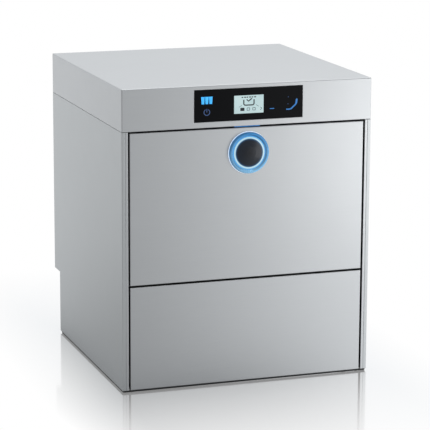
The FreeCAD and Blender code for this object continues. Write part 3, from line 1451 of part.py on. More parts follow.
def wash_pump_rotor():
    """The motor's shaft and core with the impeller on its end."""
    y, z = pump_y, pump_z
    far_x = motor_ends()[0]
    room_r = D.volute_r - D.volute_t
    wheel_x = D.volute_t - D.volute_w / 2 + D.wheel_gap
    shaft_l = D.motor_l + D.shaft_in * 2
    shaft = cylinder("rotor_shaft", D.shaft_r, shaft_l, (far_x + D.shaft_in, y, z), "+X")
    core = cylinder(
        "rotor_core", D.motor_r - D.motor_wall - D.core_gap, D.motor_l - D.core_in * 2,
        (far_x + D.core_in, y, z), "+X",
    )
    plate = cylinder("impeller_plate", room_r - D.wheel_in, D.wheel_t, (wheel_x, y, z), "+X")
    boss = cylinder("impeller_boss", D.shaft_r + D.boss_wall, D.blade_h, (wheel_x, y, z), "+X")
    blades = []
    for i in range(IMPELLER_BLADES):
        blade = box(
            "blade_%d" % i, (wheel_x, wheel_x + D.blade_h), (-D.blade_t / 2, D.blade_t / 2),
            (D.shaft_r + D.blade_in, room_r - D.wheel_in - D.blade_in),
        )
        spun = together("blade_turned_%d" % i, blade)
        turn = FreeCAD.Rotation(FreeCAD.Vector(1, 0, 0), 360 * i / IMPELLER_BLADES)
        bind_place(spun, 0, y, z, turn)
        blades.append(spun)
    part("wash_pump_rotor", fuse("rotor", shaft, core, plate, boss, *blades))


def motor_cradle():
    far_x, near_x = motor_ends()
    top = pump_z - D.motor_r + D.cradle_rise
    half_w = D.cradle_w / 2
    block = box(
        "cradle_block", (far_x + D.cradle_in, near_x - D.cradle_in),
        (pump_y - half_w, pump_y + half_w), (plate_top, top),
    )
    room = D.motor_r + D.rib_r + D.snug
    hollow = cylinder("cradle_hollow", room, D.motor_l, (far_x, pump_y, pump_z), "+X")
    return cut("cradle", block, hollow)


def pipes():
    low = D.well_floor - D.tub_t
    inlet_end = D.volute_w / 2
    part("suction_hose", tube(
        "suction_hose",
        [
            (basket_x, hub_y, low), (basket_x, hub_y, pump_z),
            (basket_x, pump_y, pump_z), (inlet_end, pump_y, pump_z),
        ],
        D.suction_bend, D.suction_r, D.suction_r - D.suction_wall,
    ))
    feed = tube(
        "lower_feed", [(0, feed_y, D.feed_z), (0, hub_y, D.feed_z), (0, hub_y, D.feed_top)],
        D.pipe_bend, D.spindle_r, D.spindle_bore,
    )
    riser_y = back - D.riser_back
    cap_z = tub_top + D.tub_t + D.head_rise
    over_z = cap_z + D.pipe_bend + D.riser_head
    riser = tube(
        "riser",
        [
            (0, outlet_y, outlet_top), (0, outlet_y, D.riser_low), (0, riser_y, D.riser_low),
            (0, riser_y, over_z), (0, hub_y, over_z), (0, hub_y, cap_z),
        ],
        D.pipe_bend, D.spindle_r, D.spindle_bore,
    )
    part("wash_pipes", together("wash_pipes", feed, riser))
    r = D.rinse_pipe_r
    boiler_end = front + D.boiler_front + D.boiler_l
    rinse_z = D.boiler_z + D.boiler_r / 2
    inner_y = tub_back - D.rinse_in
    side_z = tub_top + D.tub_t + r + D.rinse_over
    part("rinse_pipe", tube(
        "rinse_pipe",
        [
            (boiler_x, boiler_end, rinse_z), (boiler_x, inner_y, rinse_z),
            (boiler_x, inner_y, D.riser_low), (boiler_x, riser_y, D.riser_low),
            (boiler_x, riser_y, side_z), (boiler_x, hub_y, side_z), (D.spindle_r, hub_y, side_z),
        ],
        D.rinse_bend, r, r - D.rinse_wall,
    ))


def boiler():
    """The rinse boiler lies front to back, with its heater's port in the front end."""
    r, length, wall, bevel = D.boiler_r, D.boiler_l, D.boiler_wall, D.boiler_bevel
    inner = bevel + D.bevel_in
    profile = [
        (D.port_r, 0), (r - bevel, 0), (r, bevel), (r, length - bevel), (r - bevel, length),
        (0, length), (0, length - wall), (r - inner, length - wall), (r - wall, length - inner),
        (r - wall, inner), (r - inner, wall), (D.port_r, wall),
    ]
    start = front + D.boiler_front
    part("boiler", turned("boiler", profile, (boiler_x, start, D.boiler_z), "+Y"))


def boiler_heater():
    start = front + D.boiler_front
    cap_at = (boiler_x, start - D.boiler_cap, D.boiler_z)
    cap = cylinder("heater_cap", D.port_r, D.boiler_wall + D.boiler_cap, cap_at, "+Y")
    deep = start + D.boiler_l - D.thin_rod_short
    z = D.boiler_z
    rods = []
    for number in range(2):
        gap = D.thin_rod_gap + D.thin_rod_step * number
        points = [
            (boiler_x - gap, start, z), (boiler_x - gap, deep + gap, z),
            (boiler_x + gap, deep + gap, z), (boiler_x + gap, start, z),
        ]
        rods.append(tube("boiler_rod_%d" % number, points, gap - D.snug, D.thin_rod_r))
    part("boiler_heater", fuse("boiler_heater", cap, *rods))


def boiler_cradles():
    start = front + D.boiler_front
    half_w, half_t = D.cradle_side / 2, D.cradle_t / 2
    cradles = []
    for number, share in enumerate((0.2, 0.8)):
        y = start + D.boiler_l * share
        block = box(
            "boiler_cradle_block_%d" % number, (boiler_x - half_w, boiler_x + half_w),
            (y - half_t, y + half_t), (plate_top, D.boiler_z - D.boiler_r / 2),
        )
        hollow = cylinder(
            "boiler_cradle_hollow_%d" % number, D.boiler_r, D.cradle_t + PAST * 2,
            (boiler_x, y - half_t - PAST, D.boiler_z), "+Y",
        )
        cradles.append(cut("boiler_cradle_%d" % number, block, hollow))
    return cradles


def tank_heater():
    """A bent rod low in the tank whose ends pass through the tank's back wall."""
    x, z = heater_x(), heater_z()
    out = well_y[1] + D.tub_t + D.heater_tail
    near_y = well_y[0] + D.heater_front
    points = [(-x, out, z), (-x, near_y, z), (x, near_y, z), (x, out, z)]
    part("tank_heater", tube("tank_heater", points, D.rod_bend, D.rod_r))


def drain_pump():
    """A small pump with its own rotor, between the tank and the drain hose."""
    x, y, z = -D.drain_x, -D.drain_y, D.spigot_z
    r, wall = D.drain_r, D.drain_wall
    start = y - D.drain_l / 2
    neck = r + D.drain_neck
    half_w, half_l = D.drain_foot_w / 2, D.drain_foot_l / 2
    can = cylinder("drain_can", r, D.drain_l, (x, start, z), "+Y")
    side = cylinder("drain_side", D.spigot_r, neck, (x, y, z), "-X")
    foot = box(
        "drain_foot", (x - half_w, x + half_w), (y - half_l, y + half_l),
        (plate_top, z - D.drain_foot_in),
    )
    hollow = cylinder("drain_hollow", r - wall, D.drain_l - wall * 2, (x, start + wall, z), "+Y")
    bore = cylinder("drain_bore", D.spigot_bore, neck + PAST, (x, y, z), "-X")
    part("drain_pump", cut("drain_cut", fuse("drain_shell", can, side, foot), hollow, bore))

    shaft_y = y - D.drain_shaft_l / 2
    shaft = cylinder("drain_shaft", D.small_shaft_r, D.drain_shaft_l, (x, shaft_y, z), "+Y")
    core_at = (x, y - D.drain_core_y, z)
    core = cylinder("drain_core", D.drain_core_r, D.drain_core_l, core_at, "+Y")
    wheel_at = (x, y + D.drain_wheel_y, z)
    wheel = cylinder("drain_wheel", D.drain_wheel_r, D.drain_wheel_t, wheel_at, "+Y")
    part("drain_pump_rotor", fuse("drain_rotor", shaft, core, wheel))

    outside = D.spigot_r + D.hose_over
    part("drain_hose", tube(
        "drain_hose",
        [(x - neck, y, z), (-D.spigot_x, y, z), (-D.spigot_x, spigot_in(), z)],
        D.hose_bend, outside, outside - D.hose_wall,
    ))


def spigot_in():
    return low_panel_y - D.sheet_t - D.drain_in


def drain_spigot():
    flange = low_panel_y - D.sheet_t
    out = low_panel_y + D.collar_out
    r, bore = D.spigot_r, D.spigot_bore
    wide = r + D.flange_out
    nut = r + D.nut_out
    profile = [
        (bore, spigot_in()), (r, spigot_in()), (r, flange - D.flange_t), (wide, flange - D.flange_t),
        (wide, flange), (r, flange), (r, low_panel_y), (nut, low_panel_y), (nut, out),
        (r, out), (r, out + D.spigot_l), (bore, out + D.spigot_l),
    ]
    part("drain_spigot", turned("drain_spigot", profile, (-D.spigot_x, 0, D.spigot_z), "+Y"))


def inlet_valve():
    """The water inlet: a valve body inside, a threaded neck outside and its coil on top."""
    flange = low_panel_y - D.sheet_t
    out = low_panel_y + D.collar_out
    r, bore = D.inlet_r, D.inlet_bore
    body_r = r + D.valve_wall
    nut = r + D.nut_out
    tail = flange - D.valve_l
    deep = flange - D.valve_deep
    profile = [
        (0, tail), (body_r, tail), (body_r, flange), (r, flange), (r, low_panel_y),
        (nut, low_panel_y), (nut, out), (r, out), (r, out + D.inlet_l),
        (bore, out + D.inlet_l), (bore, deep), (0, deep),
    ]
    neck = turned("inlet_neck", profile, (D.inlet_x, 0, D.inlet_z), "+Y")
    coil_at = (D.inlet_x, tail + D.coil_y, D.inlet_z + D.coil_up)
    coil = cylinder("inlet_coil", D.coil_r, D.coil_h, coil_at)
    way = cylinder("inlet_bore", bore, D.valve_deep, (D.inlet_x, deep, D.inlet_z), "+Y")
    part("inlet_valve", cut("inlet_cut", fuse("inlet_valve", neck, coil), way))


def cable_gland():
    flange = low_panel_y - D.sheet_t
    r, bore = D.gland_r, D.gland_bore
    wide = r + D.gland_head
    nut_y = low_panel_y + D.gland_in
    slope_y = nut_y + D.gland_slope
    end_y = slope_y + D.gland_end
    profile = [
        (bore, flange - D.gland_in), (wide, flange - D.gland_in), (wide, flange), (r, flange),
        (r, low_panel_y), (wide, low_panel_y), (wide, nut_y), (r, slope_y),
        (r - D.gland_lip, end_y), (bore, end_y),
    ]
    part("cable_gland", turned("cable_gland", profile, (-D.gland_x, 0, D.gland_z), "+Y"))


def booster_pump():
    x, y, z = -D.booster_x, front + D.booster_front, D.booster_z
    head_x = x + D.booster_l
    foot_x = x + D.booster_foot_in
    half_w = D.booster_foot_w / 2
    can = cylinder("booster_can", D.booster_r, D.booster_l, (x, y, z), "+X")
    head = cylinder("booster_head", D.booster_head_r, D.booster_head_l, (head_x, y, z), "+X")
    foot = box(
        "booster_foot", (foot_x, foot_x + D.booster_foot_l), (y - half_w, y + half_w),
        (plate_top, z - D.booster_foot_z),
    )
    spout_at = (head_x + D.booster_head_l / 2, y, z)
    spout = cylinder("booster_spout", D.booster_spout_r, D.booster_spout_h, spout_at)
    part("booster_pump", fuse("booster_pump", can, head, foot, spout))


def dosing_rotor(name, x, y, z):
    hub = cylinder(name + "_hub", D.dosing_hub_r, D.roller_l, (x, y, z), "+Y")
    shaft = cylinder(name + "_shaft", D.small_shaft_r, D.dosing_shaft_l, (x, y, z), "+Y")
    rollers = []
    for i in range(ROLLERS):
        angle = 2 * math.pi * i / ROLLERS
        at = (x + D.roller_ring * math.cos(angle), y, z + D.roller_ring * math.sin(angle))
        rollers.append(cylinder("%s_roller_%d" % (name, i), D.roller_r, D.roller_l, at, "+Y"))
    part(name + "_pump_rotor", fuse(name + "_rotor", hub, shaft, *rollers))


def dosing_pumps():
    """Two peristaltic pumps behind the lower panel, each with its rotor."""
    y, z = front + D.panel_skirt + D.dosing_in, D.dosing_z
    half_w, half_h = D.dosing_w / 2, D.dosing_h / 2
    bore_r = D.small_shaft_r + D.running
    cases = []
    for number, name in enumerate(("detergent", "rinse_aid")):
        x = -half + D.dosing_side + D.dosing_pitch * number
        block = box(
            name + "_block", (x - half_w, x + half_w), (y, y + D.dosing_d), (z - half_h, z + half_h)
        )
        well = cylinder(name + "_well", D.dosing_well_r, D.dosing_well_d, (x, y, z), "+Y")
        bearing = cylinder(name + "_bearing", bore_r, D.dosing_bore_d, (x, y, z), "+Y")
        cases.append(cut(name + "_pump_case", block, well, bearing))
        dosing_rotor(name, x, y + D.dosing_sink, z)
    part("dosing_pumps", together("dosing_pumps", *cases))


def open_box(label, x, y, z, wall):
    """A thin-walled box without a top."""
    outer = box(label + "_outer", x, y, z)
    inner = box(
        label + "_inner", (x[0] + wall, x[1] - wall), (y[0] + wall, y[1] - wall),
        (z[0] + wall, z[1] + PAST),
    )
    part(label, cut(label, outer, inner))


def break_tank():
    """A flat tank beside the chamber that lets the inlet water fall freely."""
    x = (D.sheet_t - half + D.break_side, -tub_x - D.tub_t - D.break_in)
    y = (hub_y - D.break_l / 2, hub_y + D.break_l / 2)
    z = (D.mouth_low + D.break_end, mouth_top - D.break_end)
    open_box("break_tank", x, y, z, D.break_wall)


# Controls
def glass_span():
    """The control glass's extent along Y and along Z."""
    top = D.height - D.glass_drop
    face = front - D.glass_proud
    return (face, face + D.glass_t), (top - D.glass_h, top)


def display_span():
    high = glass_span()[1][1] - D.display_drop
    return (high - D.display_h, high)


def control_glass():
    """The touch panel, with a window for the display."""
    y, z = glass_span()
    body = new_body("glass")
    face = rectangle((-D.glass_w / 2, D.glass_w / 2), z)
    window = rectangle((-D.display_w / 2, D.display_w / 2), display_span())
    extrude(body, "glass_plate", "XZ_Plane", y, [face, window])
    part("control_glass", body)


def display_module():
    y = glass_span()[0]
    z = display_span()
    x = D.display_w / 2
    wide = x + D.screen_lap
    screen = box(
        "screen", (D.snug - x, x - D.snug), (y[0] + D.screen_sink, y[1]),
        (z[0] + D.snug, z[1] - D.snug),
    )
    board = box(
        "screen_board", (-wide, wide), (y[1], y[1] + D.screen_t),
        (z[0] - D.screen_lap_z, z[1] + D.screen_lap_z),
    )
    part("display_module", fuse("display_module", screen, board))


def control_case():
    """The housing behind the glass and the board inside it."""
    glass_y, glass_z = glass_span()
    wall = D.housing_t
    x = D.glass_w / 2 - D.housing_in
    y = (glass_y[1], glass_y[1] + D.housing_d)
    z = (glass_z[0] + D.housing_in / 2, glass_z[1] - D.housing_in / 2)
    room_x = (wall - x, x - wall)
    room_z = (z[0] + wall, z[1] - wall)
    shell = box("housing_outer", (-x, x), y, z)
    room = box("housing_room", room_x, (y[0] - PAST, y[1] - wall), room_z)
    part("control_housing", cut("control_housing", shell, room))

    board_y = y[0] + D.board_in
    back_y = board_y + D.board_t
    low = room_z[0] + D.parts_up
    chip_x = (-D.chip_x - D.chip_w / 2, -D.chip_x + D.chip_w / 2)
    relay_x = (D.relay_x - D.relay_w / 2, D.relay_x + D.relay_w / 2)
    board = box("board", room_x, (board_y, back_y), room_z)
    chip = box("chip", chip_x, (back_y, back_y + D.chip_t), (low, low + D.chip_w))
    relay = box("relay", relay_x, (back_y, back_y + D.relay_t), (low, low + D.relay_h))
    part("control_board", fuse("control_board", board, chip, relay))


def electrical_box():
    """An open box of terminals and relays between the chamber and the lid."""
    x = (-half + D.ebox_side, -D.ebox_in)
    y = (hub_y - D.ebox_l / 2, hub_y + D.ebox_l / 2)
    z = (tub_top + D.tub_t + D.ebox_up, D.height - D.sheet_t - D.ebox_down)
    open_box("electrical_box", x, y, z, D.housing_t)


def controls():
    control_glass()
    display_module()
    control_case()
    electrical_box()


def whole_machine():
    casing()
    base_frame()
    feet()
    door()
    wash_chamber()
    wash_tank()
    door_seal()
    pair("rack_rails", rack_rail)
    strainer_plates()
    strainer_basket()
    wash_system()
    wash_pump_housing()
    wash_pump_motor()
    wash_pump_rotor()
    pipes()
    boiler()
    boiler_heater()
    part("support_saddles", together("support_saddles", motor_cradle(), *boiler_cradles()))
    tank_heater()
    drain_pump()
    drain_spigot()
    inlet_valve()
    cable_gland()
    booster_pump()
    dosing_pumps()
    break_tank()
    controls()


def check_and_write():
    """Stops on any failed object or bad solid, then writes one file for each sub-part."""
    doc.recompute()
    for obj in doc.Objects:
        if any(word in obj.State for word in ("Invalid", "Error")):
            raise ValueError("%s failed: %s" % (obj.Name, obj.State))
    for label, obj in PARTS.items():
        shape = obj.Shape
        if shape.isNull() or not shape.isValid() or not shape.Solids:
            raise ValueError(label + " has no valid solid")
    os.makedirs("parts", exist_ok=True)
    for label, obj in PARTS.items():
        obj.Shape.exportStep("parts/%s.step" % label)
    print("%d sub-parts written" % len(PARTS))


whole_machine()
check_and_write()
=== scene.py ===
"""The looks of an undercounter glass washer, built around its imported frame.

Lengths of small details are in millimetres and turned into metres by MM. The frame has +X to
the machine's right seen from the front, +Y to the back and +Z up.
"""
import math

import bmesh
import bpy
from mathutils import Matrix, Vector


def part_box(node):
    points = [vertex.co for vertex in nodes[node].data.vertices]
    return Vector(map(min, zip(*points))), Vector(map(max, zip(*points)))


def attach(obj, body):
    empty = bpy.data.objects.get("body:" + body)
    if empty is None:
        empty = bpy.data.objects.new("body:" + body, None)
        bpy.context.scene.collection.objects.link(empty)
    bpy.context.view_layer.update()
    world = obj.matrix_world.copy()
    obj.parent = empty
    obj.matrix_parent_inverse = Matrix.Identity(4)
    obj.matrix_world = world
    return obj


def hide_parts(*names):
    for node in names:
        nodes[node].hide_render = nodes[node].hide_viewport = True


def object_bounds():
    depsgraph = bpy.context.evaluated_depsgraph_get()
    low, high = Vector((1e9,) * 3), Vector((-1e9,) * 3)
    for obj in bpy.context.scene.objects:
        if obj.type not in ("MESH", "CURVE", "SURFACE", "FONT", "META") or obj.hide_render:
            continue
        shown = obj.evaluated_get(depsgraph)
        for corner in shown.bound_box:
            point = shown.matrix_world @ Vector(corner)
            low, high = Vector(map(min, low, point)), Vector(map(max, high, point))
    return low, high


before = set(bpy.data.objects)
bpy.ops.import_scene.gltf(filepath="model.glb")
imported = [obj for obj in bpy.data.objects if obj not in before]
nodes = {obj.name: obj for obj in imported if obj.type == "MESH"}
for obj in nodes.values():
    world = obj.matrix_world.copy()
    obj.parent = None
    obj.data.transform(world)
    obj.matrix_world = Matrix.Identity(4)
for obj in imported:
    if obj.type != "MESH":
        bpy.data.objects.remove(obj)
cad_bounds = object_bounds()
MM = 0.001

# Camera, as solved from the cabinet's corners
FRAME_PX = 430
FOCAL_PX = 2147.4
SENSOR_MM = 36
AZIMUTH = -18.99
ELEVATION = 12.38
ROLL = 0.25
DISTANCE = 5.20689
TARGET = Vector((0.02353, 0.0, 0.33216))

# Sizes of the details, in millimetres
PRINT_T = 0.12
EDGE_RADIUS = 1.4
STRAINER_PITCH = 5.0
STRAINER_HOLE_R = 1.5

# Where most of a noise texture's values lie
NOISE_SPAN = (0.3, 0.7)

# Light levels of the room: what a matt surface meets, and what a glossy one mirrors
ROOM_LEVEL = 0.5
GLOSS_LEVEL = 0.72
GLOSS_RISE_TO_RIGHT = 0.225
GLOSS_RISE_TO_BACK = 0.226


# Node trees
class Tree:
    """A short way to write a node tree."""

    def __init__(self, owner):
        owner.use_nodes = True
        self.tree = owner.node_tree
        self.tree.nodes.clear()

    def add(self, kind, inputs=None, **settings):
        node = self.tree.nodes.new(kind)
        for name, value in settings.items():
            setattr(node, name, value)
        for name, value in (inputs or {}).items():
            self.set(node, name, value)
        return node

    def set(self, node, name, value):
        socket = node.inputs[name]
        if isinstance(value, bpy.types.NodeSocket):
            self.tree.links.new(value, socket)
        else:
            socket.default_value = value

    def math(self, operation, a, b=0.0):
        return self.add("ShaderNodeMath", {0: a, 1: b}, operation=operation).outputs[0]

    def square(self, value):
        return self.math("MULTIPLY", value, value)

    def separate(self, vector):
        return self.add("ShaderNodeSeparateXYZ", {0: vector}).outputs

    def noise(self, vector, scale, detail=3.0, roughness=0.5):
        inputs = {"Vector": vector, "Scale": scale, "Detail": detail, "Roughness": roughness}
        return self.add("ShaderNodeTexNoise", inputs).outputs["Fac"]

    def stretch(self, vector, scale):
        node = self.add("ShaderNodeMapping", {"Vector": vector, "Scale": scale})
        return node.outputs["Vector"]

    def remap(self, value, low, high, new_low, new_high):
        inputs = {
            "Value": value, "From Min": low, "From Max": high, "To Min": new_low, "To Max": new_high,
        }
        return self.add("ShaderNodeMapRange", inputs).outputs["Result"]

    def mix(self, factor, a, b):
        """A mix of two colours."""
        node = self.add("ShaderNodeMix", data_type="RGBA")
        sockets = [s for s in node.inputs if s.enabled]
        for socket, value in zip(sockets, (factor, a, b)):
            if isinstance(value, bpy.types.NodeSocket):
                self.tree.links.new(value, socket)
            elif socket.type == "RGBA":
                socket.default_value = (*value, 1.0)
            else:
                socket.default_value = value
        return [s for s in node.outputs if s.enabled][0]

    def fade(self, value, a, b, most=1.0, span=NOISE_SPAN):
        """Colour a at the span's low end, turning to b by the share most at its high end."""
        return self.mix(self.remap(value, *span, 0.0, most), a, b)

    def mix_shaders(self, factor, a, b):
        return self.add("ShaderNodeMixShader", {0: factor, 1: a, 2: b}).outputs[0]

    def bump(self, height, strength, distance=0.0002, **normal):
        inputs = {"Strength": strength, "Distance": distance, "Height": height, **normal}
        return self.add("ShaderNodeBump", inputs).outputs["Normal"]

    def principled(self, inputs):
        """Ends a material with one surface shader."""
        self.finish(self.add("ShaderNodeBsdfPrincipled", inputs).outputs[0])

    def finish(self, shader, kind="ShaderNodeOutputMaterial"):
        self.add(kind, {"Surface": shader})


def new_material(name):
    """A material with an empty node tree, and its texture coordinates."""
    material = bpy.data.materials.new(name)
    tree = Tree(material)
    where = tree.add("ShaderNodeTexCoord")
    return material, tree, where.outputs


def tint(color, factor):
    """A darker or lighter form of a colour."""
    return tuple(channel * factor for channel in color)


def brushed(name, color, rough, grain="level", depth=0.5, smudge=0.05):
    """Satin stainless sheet: fine grain lines, a faint cloudiness and a little bump."""
    material, tree, where = new_material(name)
    place = where["Object"]
    along, across = 22.0, 1900.0
    wall_grain = (across, across, along) if grain == "upright" else (along, along, across)
    lines_on_walls = tree.noise(tree.stretch(place, wall_grain), 1.0, 4.0, 0.62)
    lines_on_flats = tree.noise(tree.stretch(place, (along, across, along)), 1.0, 4.0, 0.62)
    facing_up = tree.math("ABSOLUTE", tree.separate(where["Normal"])["Z"])
    picked = tree.add("ShaderNodeMix", data_type="FLOAT")
    tree.set(picked, 0, tree.math("GREATER_THAN", facing_up, 0.7))
    tree.set(picked, 2, lines_on_walls)
    tree.set(picked, 3, lines_on_flats)
    lines = picked.outputs[0]
    clouds = tree.noise(place, 3.2, 3.0, 0.55)
    prints = tree.noise(place, 21.0, 4.0, 0.6)
    tone = tree.fade(lines, tint(color, 0.97), tint(color, 1.02))
    tone = tree.fade(clouds, tone, tint(color, 0.97), most=0.35)
    rubbed = tree.math("ADD", lines, tree.math("MULTIPLY", prints, smudge * 4))
    shine = tree.remap(rubbed, 0.3, 0.8 + smudge * 4, rough - 0.05, rough + 0.07)
    folded = tree.add("ShaderNodeBevel", {"Radius": EDGE_RADIUS * MM}, samples=6)
    normal = tree.bump(lines, depth * 0.12, Normal=folded.outputs[0])
    tree.principled({"Base Color": tone, "Metallic": 1.0, "Roughness": shine, "Normal": normal})
    return material


def perforated(name, color, axis=None, radius=0.0):
    """Steel with rows of round holes painted near-black as shade, in the plane of a plate or round
    an upright axis.
    """
    material, tree, where = new_material(name)
    parts = tree.separate(where["Object"])
    across, along = parts["X"], parts["Y"]
    if axis is not None:
        dx = tree.math("SUBTRACT", parts["X"], axis.x)
        dy = tree.math("SUBTRACT", parts["Y"], axis.y)
        across = tree.math("MULTIPLY", tree.math("ARCTAN2", dy, dx), radius)
        along = parts["Z"]
    squares = []
    for value in (across, along):
        cell = tree.math("FRACT", tree.math("DIVIDE", value, STRAINER_PITCH * MM))
        squares.append(tree.square(tree.math("SUBTRACT", cell, 0.5)))
    reach = (STRAINER_HOLE_R / STRAINER_PITCH) ** 2
    hole = tree.math("LESS_THAN", tree.math("ADD", *squares), reach)
    worn = tree.noise(where["Object"], 30.0, 4.0, 0.6)
    sheet = tree.mix(worn, tint(color, 0.85), tint(color, 1.1))
    # Painted shade: the holes are coloured near-black for the dark seen through them
    tone = tree.mix(hole, sheet, (0.006, 0.006, 0.007))
    metal = tree.math("SUBTRACT", 1.0, hole)
    normal = tree.bump(metal, 0.5, 0.0006)
    tree.principled({"Base Color": tone, "Metallic": metal, "Roughness": 0.3, "Normal": normal})
    return material


def moulded(name, color, rough, speckle=700.0, depth=0.4, metallic=0.0):
    """Moulded plastic, rubber or paint with a fine skin texture and slight unevenness."""
    material, tree, where = new_material(name)
    skin = tree.noise(where["Object"], speckle, 3.0, 0.6)
    uneven = tree.noise(where["Object"], 14.0, 3.0, 0.55)
    tone = tree.fade(uneven, tint(color, 0.9), tint(color, 1.08))
    tone = tree.fade(skin, tone, tint(color, 0.85), most=0.3, span=(0.35, 0.65))
    shine = tree.remap(uneven, *NOISE_SPAN, rough - 0.05, rough + 0.06)
    normal = tree.bump(skin, depth * 0.3)
    tree.principled({
        "Base Color": tone, "Metallic": metallic, "Roughness": shine, "Normal": normal,
    })
    return material


def black_glass(name):
    """The touch panel: deep black behind glass, with faint wipe marks in its gloss."""
    material, tree, where = new_material(name)
    wipes = tree.noise(tree.stretch(where["Object"], (30.0, 30.0, 90.0)), 1.0, 4.0, 0.6)
    dust = tree.noise(where["Object"], 900.0, 2.0, 0.5)
    deep, dusty = (0.0025, 0.0028, 0.004), (0.012, 0.012, 0.015)
    tone = tree.fade(dust, deep, dusty, span=(0.62, 0.8))
    shine = tree.remap(wipes, 0.35, 0.7, 0.05, 0.13)
    tree.principled({"Base Color": tone, "Roughness": shine, "Specular IOR Level": 0.11})
    return material


def lit_display(name):
    """A pale cyan backlight, slightly cloudy, with a fine pixel pitch."""
    material, tree, where = new_material(name)
    pixels = tree.noise(where["Object"], 2400.0, 1.0, 0.4)
    glow = tree.noise(where["Object"], 26.0, 2.0, 0.5)
    tone = tree.fade(glow, (0.52, 0.68, 0.69), (0.6, 0.76, 0.76))
    tone = tree.fade(pixels, tone, (0.46, 0.62, 0.64), most=0.12, span=(0.4, 0.6))
    tree.principled({
        "Base Color": tone, "Roughness": 0.3, "Emission Color": tone,
        "Emission Strength": 0.42, "Specular IOR Level": 0.3,
    })
    return material


def glowing(name, color, strength):
    """A printed or moulded light guide, lit from behind, with a slightly uneven glow."""
    material, tree, where = new_material(name)
    uneven = tree.noise(where["Object"], 160.0, 2.0, 0.5)
    tone = tree.fade(uneven, tint(color, 0.85), tint(color, 1.1))
    tree.principled({
        "Base Color": tone, "Roughness": 0.3,
        "Emission Color": tone, "Emission Strength": strength,
    })
    return material


def lens_material(name, centre, radius):
    """Smoked lens: near black, with a bright light guide that turns azure at its rim."""
    material, tree, where = new_material(name)
    rib_pitch = 3.0 * MM
    parts = tree.separate(where["Object"])
    dx = tree.math("SUBTRACT", parts["X"], centre.x)
    dz = tree.math("SUBTRACT", parts["Z"], centre.z)
    away = tree.math("SQRT", tree.math("ADD", tree.square(dx), tree.square(dz)))
    ribs = tree.math("SINE", tree.math("MULTIPLY", away, 2 * math.pi / rib_pitch))
    ramp = tree.add("ShaderNodeValToRGB", {"Fac": tree.math("DIVIDE", away, radius)})
    stops = ramp.color_ramp.elements
    stops[0].position, stops[0].color = 0.0, (0.006, 0.007, 0.01, 1)
    stops[1].position, stops[1].color = 1.0, (0.08, 0.4, 0.82, 1)
    guide = (
        (0.74, (0.007, 0.012, 0.022, 1)), (0.83, (0.02, 0.07, 0.16, 1)),
        (0.86, (0.5, 0.8, 0.95, 1)), (0.91, (0.75, 0.93, 1.0, 1)), (0.95, (0.2, 0.58, 0.92, 1)),
    )
    for position, color in guide:
        stop = stops.new(position)
        stop.color = color
    black = (0.0, 0.0, 0.0)
    tone = tree.fade(ribs, ramp.outputs["Color"], black, most=0.12, span=(-1.0, 1.0))
    tree.principled({
        "Base Color": tone, "Roughness": 0.2, "Emission Color": tone,
        "Emission Strength": 0.4, "Specular IOR Level": 0.2,
        "Coat Weight": 0.35, "Coat Roughness": 0.12,
    })
    return material


def bezel_material(name, centre):
    """Blue metallised ring with a painted reflection: pale at its lowest point and deeper towards
    its top.
    """
    material, tree, where = new_material(name)
    reach = 48.0 * MM
    rise = tree.math("SUBTRACT", tree.separate(where["Object"])["Z"], centre.z)
    fine = tree.noise(where["Object"], 380.0, 3.0, 0.6)
    # Painted reflection: the ring's colour turns from pale blue at the bottom to deep blue at the
    # top
    tone = tree.fade(rise, (0.3, 0.62, 0.9), (0.05, 0.3, 0.68), span=(-reach, reach))
    tone = tree.fade(fine, tone, (0.02, 0.16, 0.42), most=0.12, span=(0.35, 0.65))
    shine = tree.remap(fine, *NOISE_SPAN, 0.14, 0.22)
    tree.principled({
        "Base Color": tone, "Metallic": 0.75, "Roughness": shine,
        "Coat Weight": 0.6, "Coat Roughness": 0.05,
        "Emission Color": (0.05, 0.35, 0.8, 1.0), "Emission Strength": 0.04,
    })
    return material


def circuit_board(name):
    """Green solder mask with traces as a fine cell pattern."""
    material, tree, where = new_material(name)
    inputs = {"Vector": where["Object"], "Scale": 420.0}
    cells = tree.add("ShaderNodeTexVoronoi", inputs, feature="DISTANCE_TO_EDGE")
    trace = tree.math("LESS_THAN", cells.outputs["Distance"], 0.06)
    tone = tree.mix(trace, (0.01, 0.11, 0.04), (0.03, 0.22, 0.09))
    tree.principled({"Base Color": tone, "Roughness": 0.35})
    return material


# Outlines, as lists of (x, z) points in millimetres
def arc(x, z, radius, start, end, steps):
    """Points on a circle, with angles in degrees from +X towards +Z."""
    points = []
    for i in range(steps + 1):
        angle = math.radians(start + (end - start) * i / steps)
        points.append((x + radius * math.cos(angle), z + radius * math.sin(angle)))
    return points


def circle(x, z, radius, steps):
    return arc(x, z, radius, 0, 360, steps)[:-1]


def stroke(points, widths):
    """The outline of a line through the points, with round ends and a width at each point."""
    left, right = [], []
    count = len(points)
    for i, (x, z) in enumerate(points):
        before = points[max(i - 1, 0)]
        after = points[min(i + 1, count - 1)]
        way = Vector((after[0] - before[0], after[1] - before[1])).normalized()
        half = widths[i] / 2
        left.append((x - way.y * half, z + way.x * half))
        right.append((x + way.y * half, z - way.x * half))

    def cap(tip, neighbour, width):
        turn = math.degrees(math.atan2(tip[1] - neighbour[1], tip[0] - neighbour[0]))
        return arc(*tip, width / 2, turn + 90, turn - 90, 8)[1:-1]

    cap_end = cap(points[-1], points[-2], widths[-1])
    cap_start = cap(points[0], points[1], widths[0])
    return left + cap_end + right[::-1] + cap_start


def rounded_rectangle(x0, x1, z0, z1, radius):
    """A rectangle with round corners, from its lower right one on."""
    steps = 6
    points = arc(x1 - radius, z0 + radius, radius, -90, 0, steps)
    points += arc(x1 - radius, z1 - radius, radius, 0, 90, steps)
    points += arc(x0 + radius, z1 - radius, radius, 90, 180, steps)
    points += arc(x0 + radius, z0 + radius, radius, 180, 270, steps)
    return points


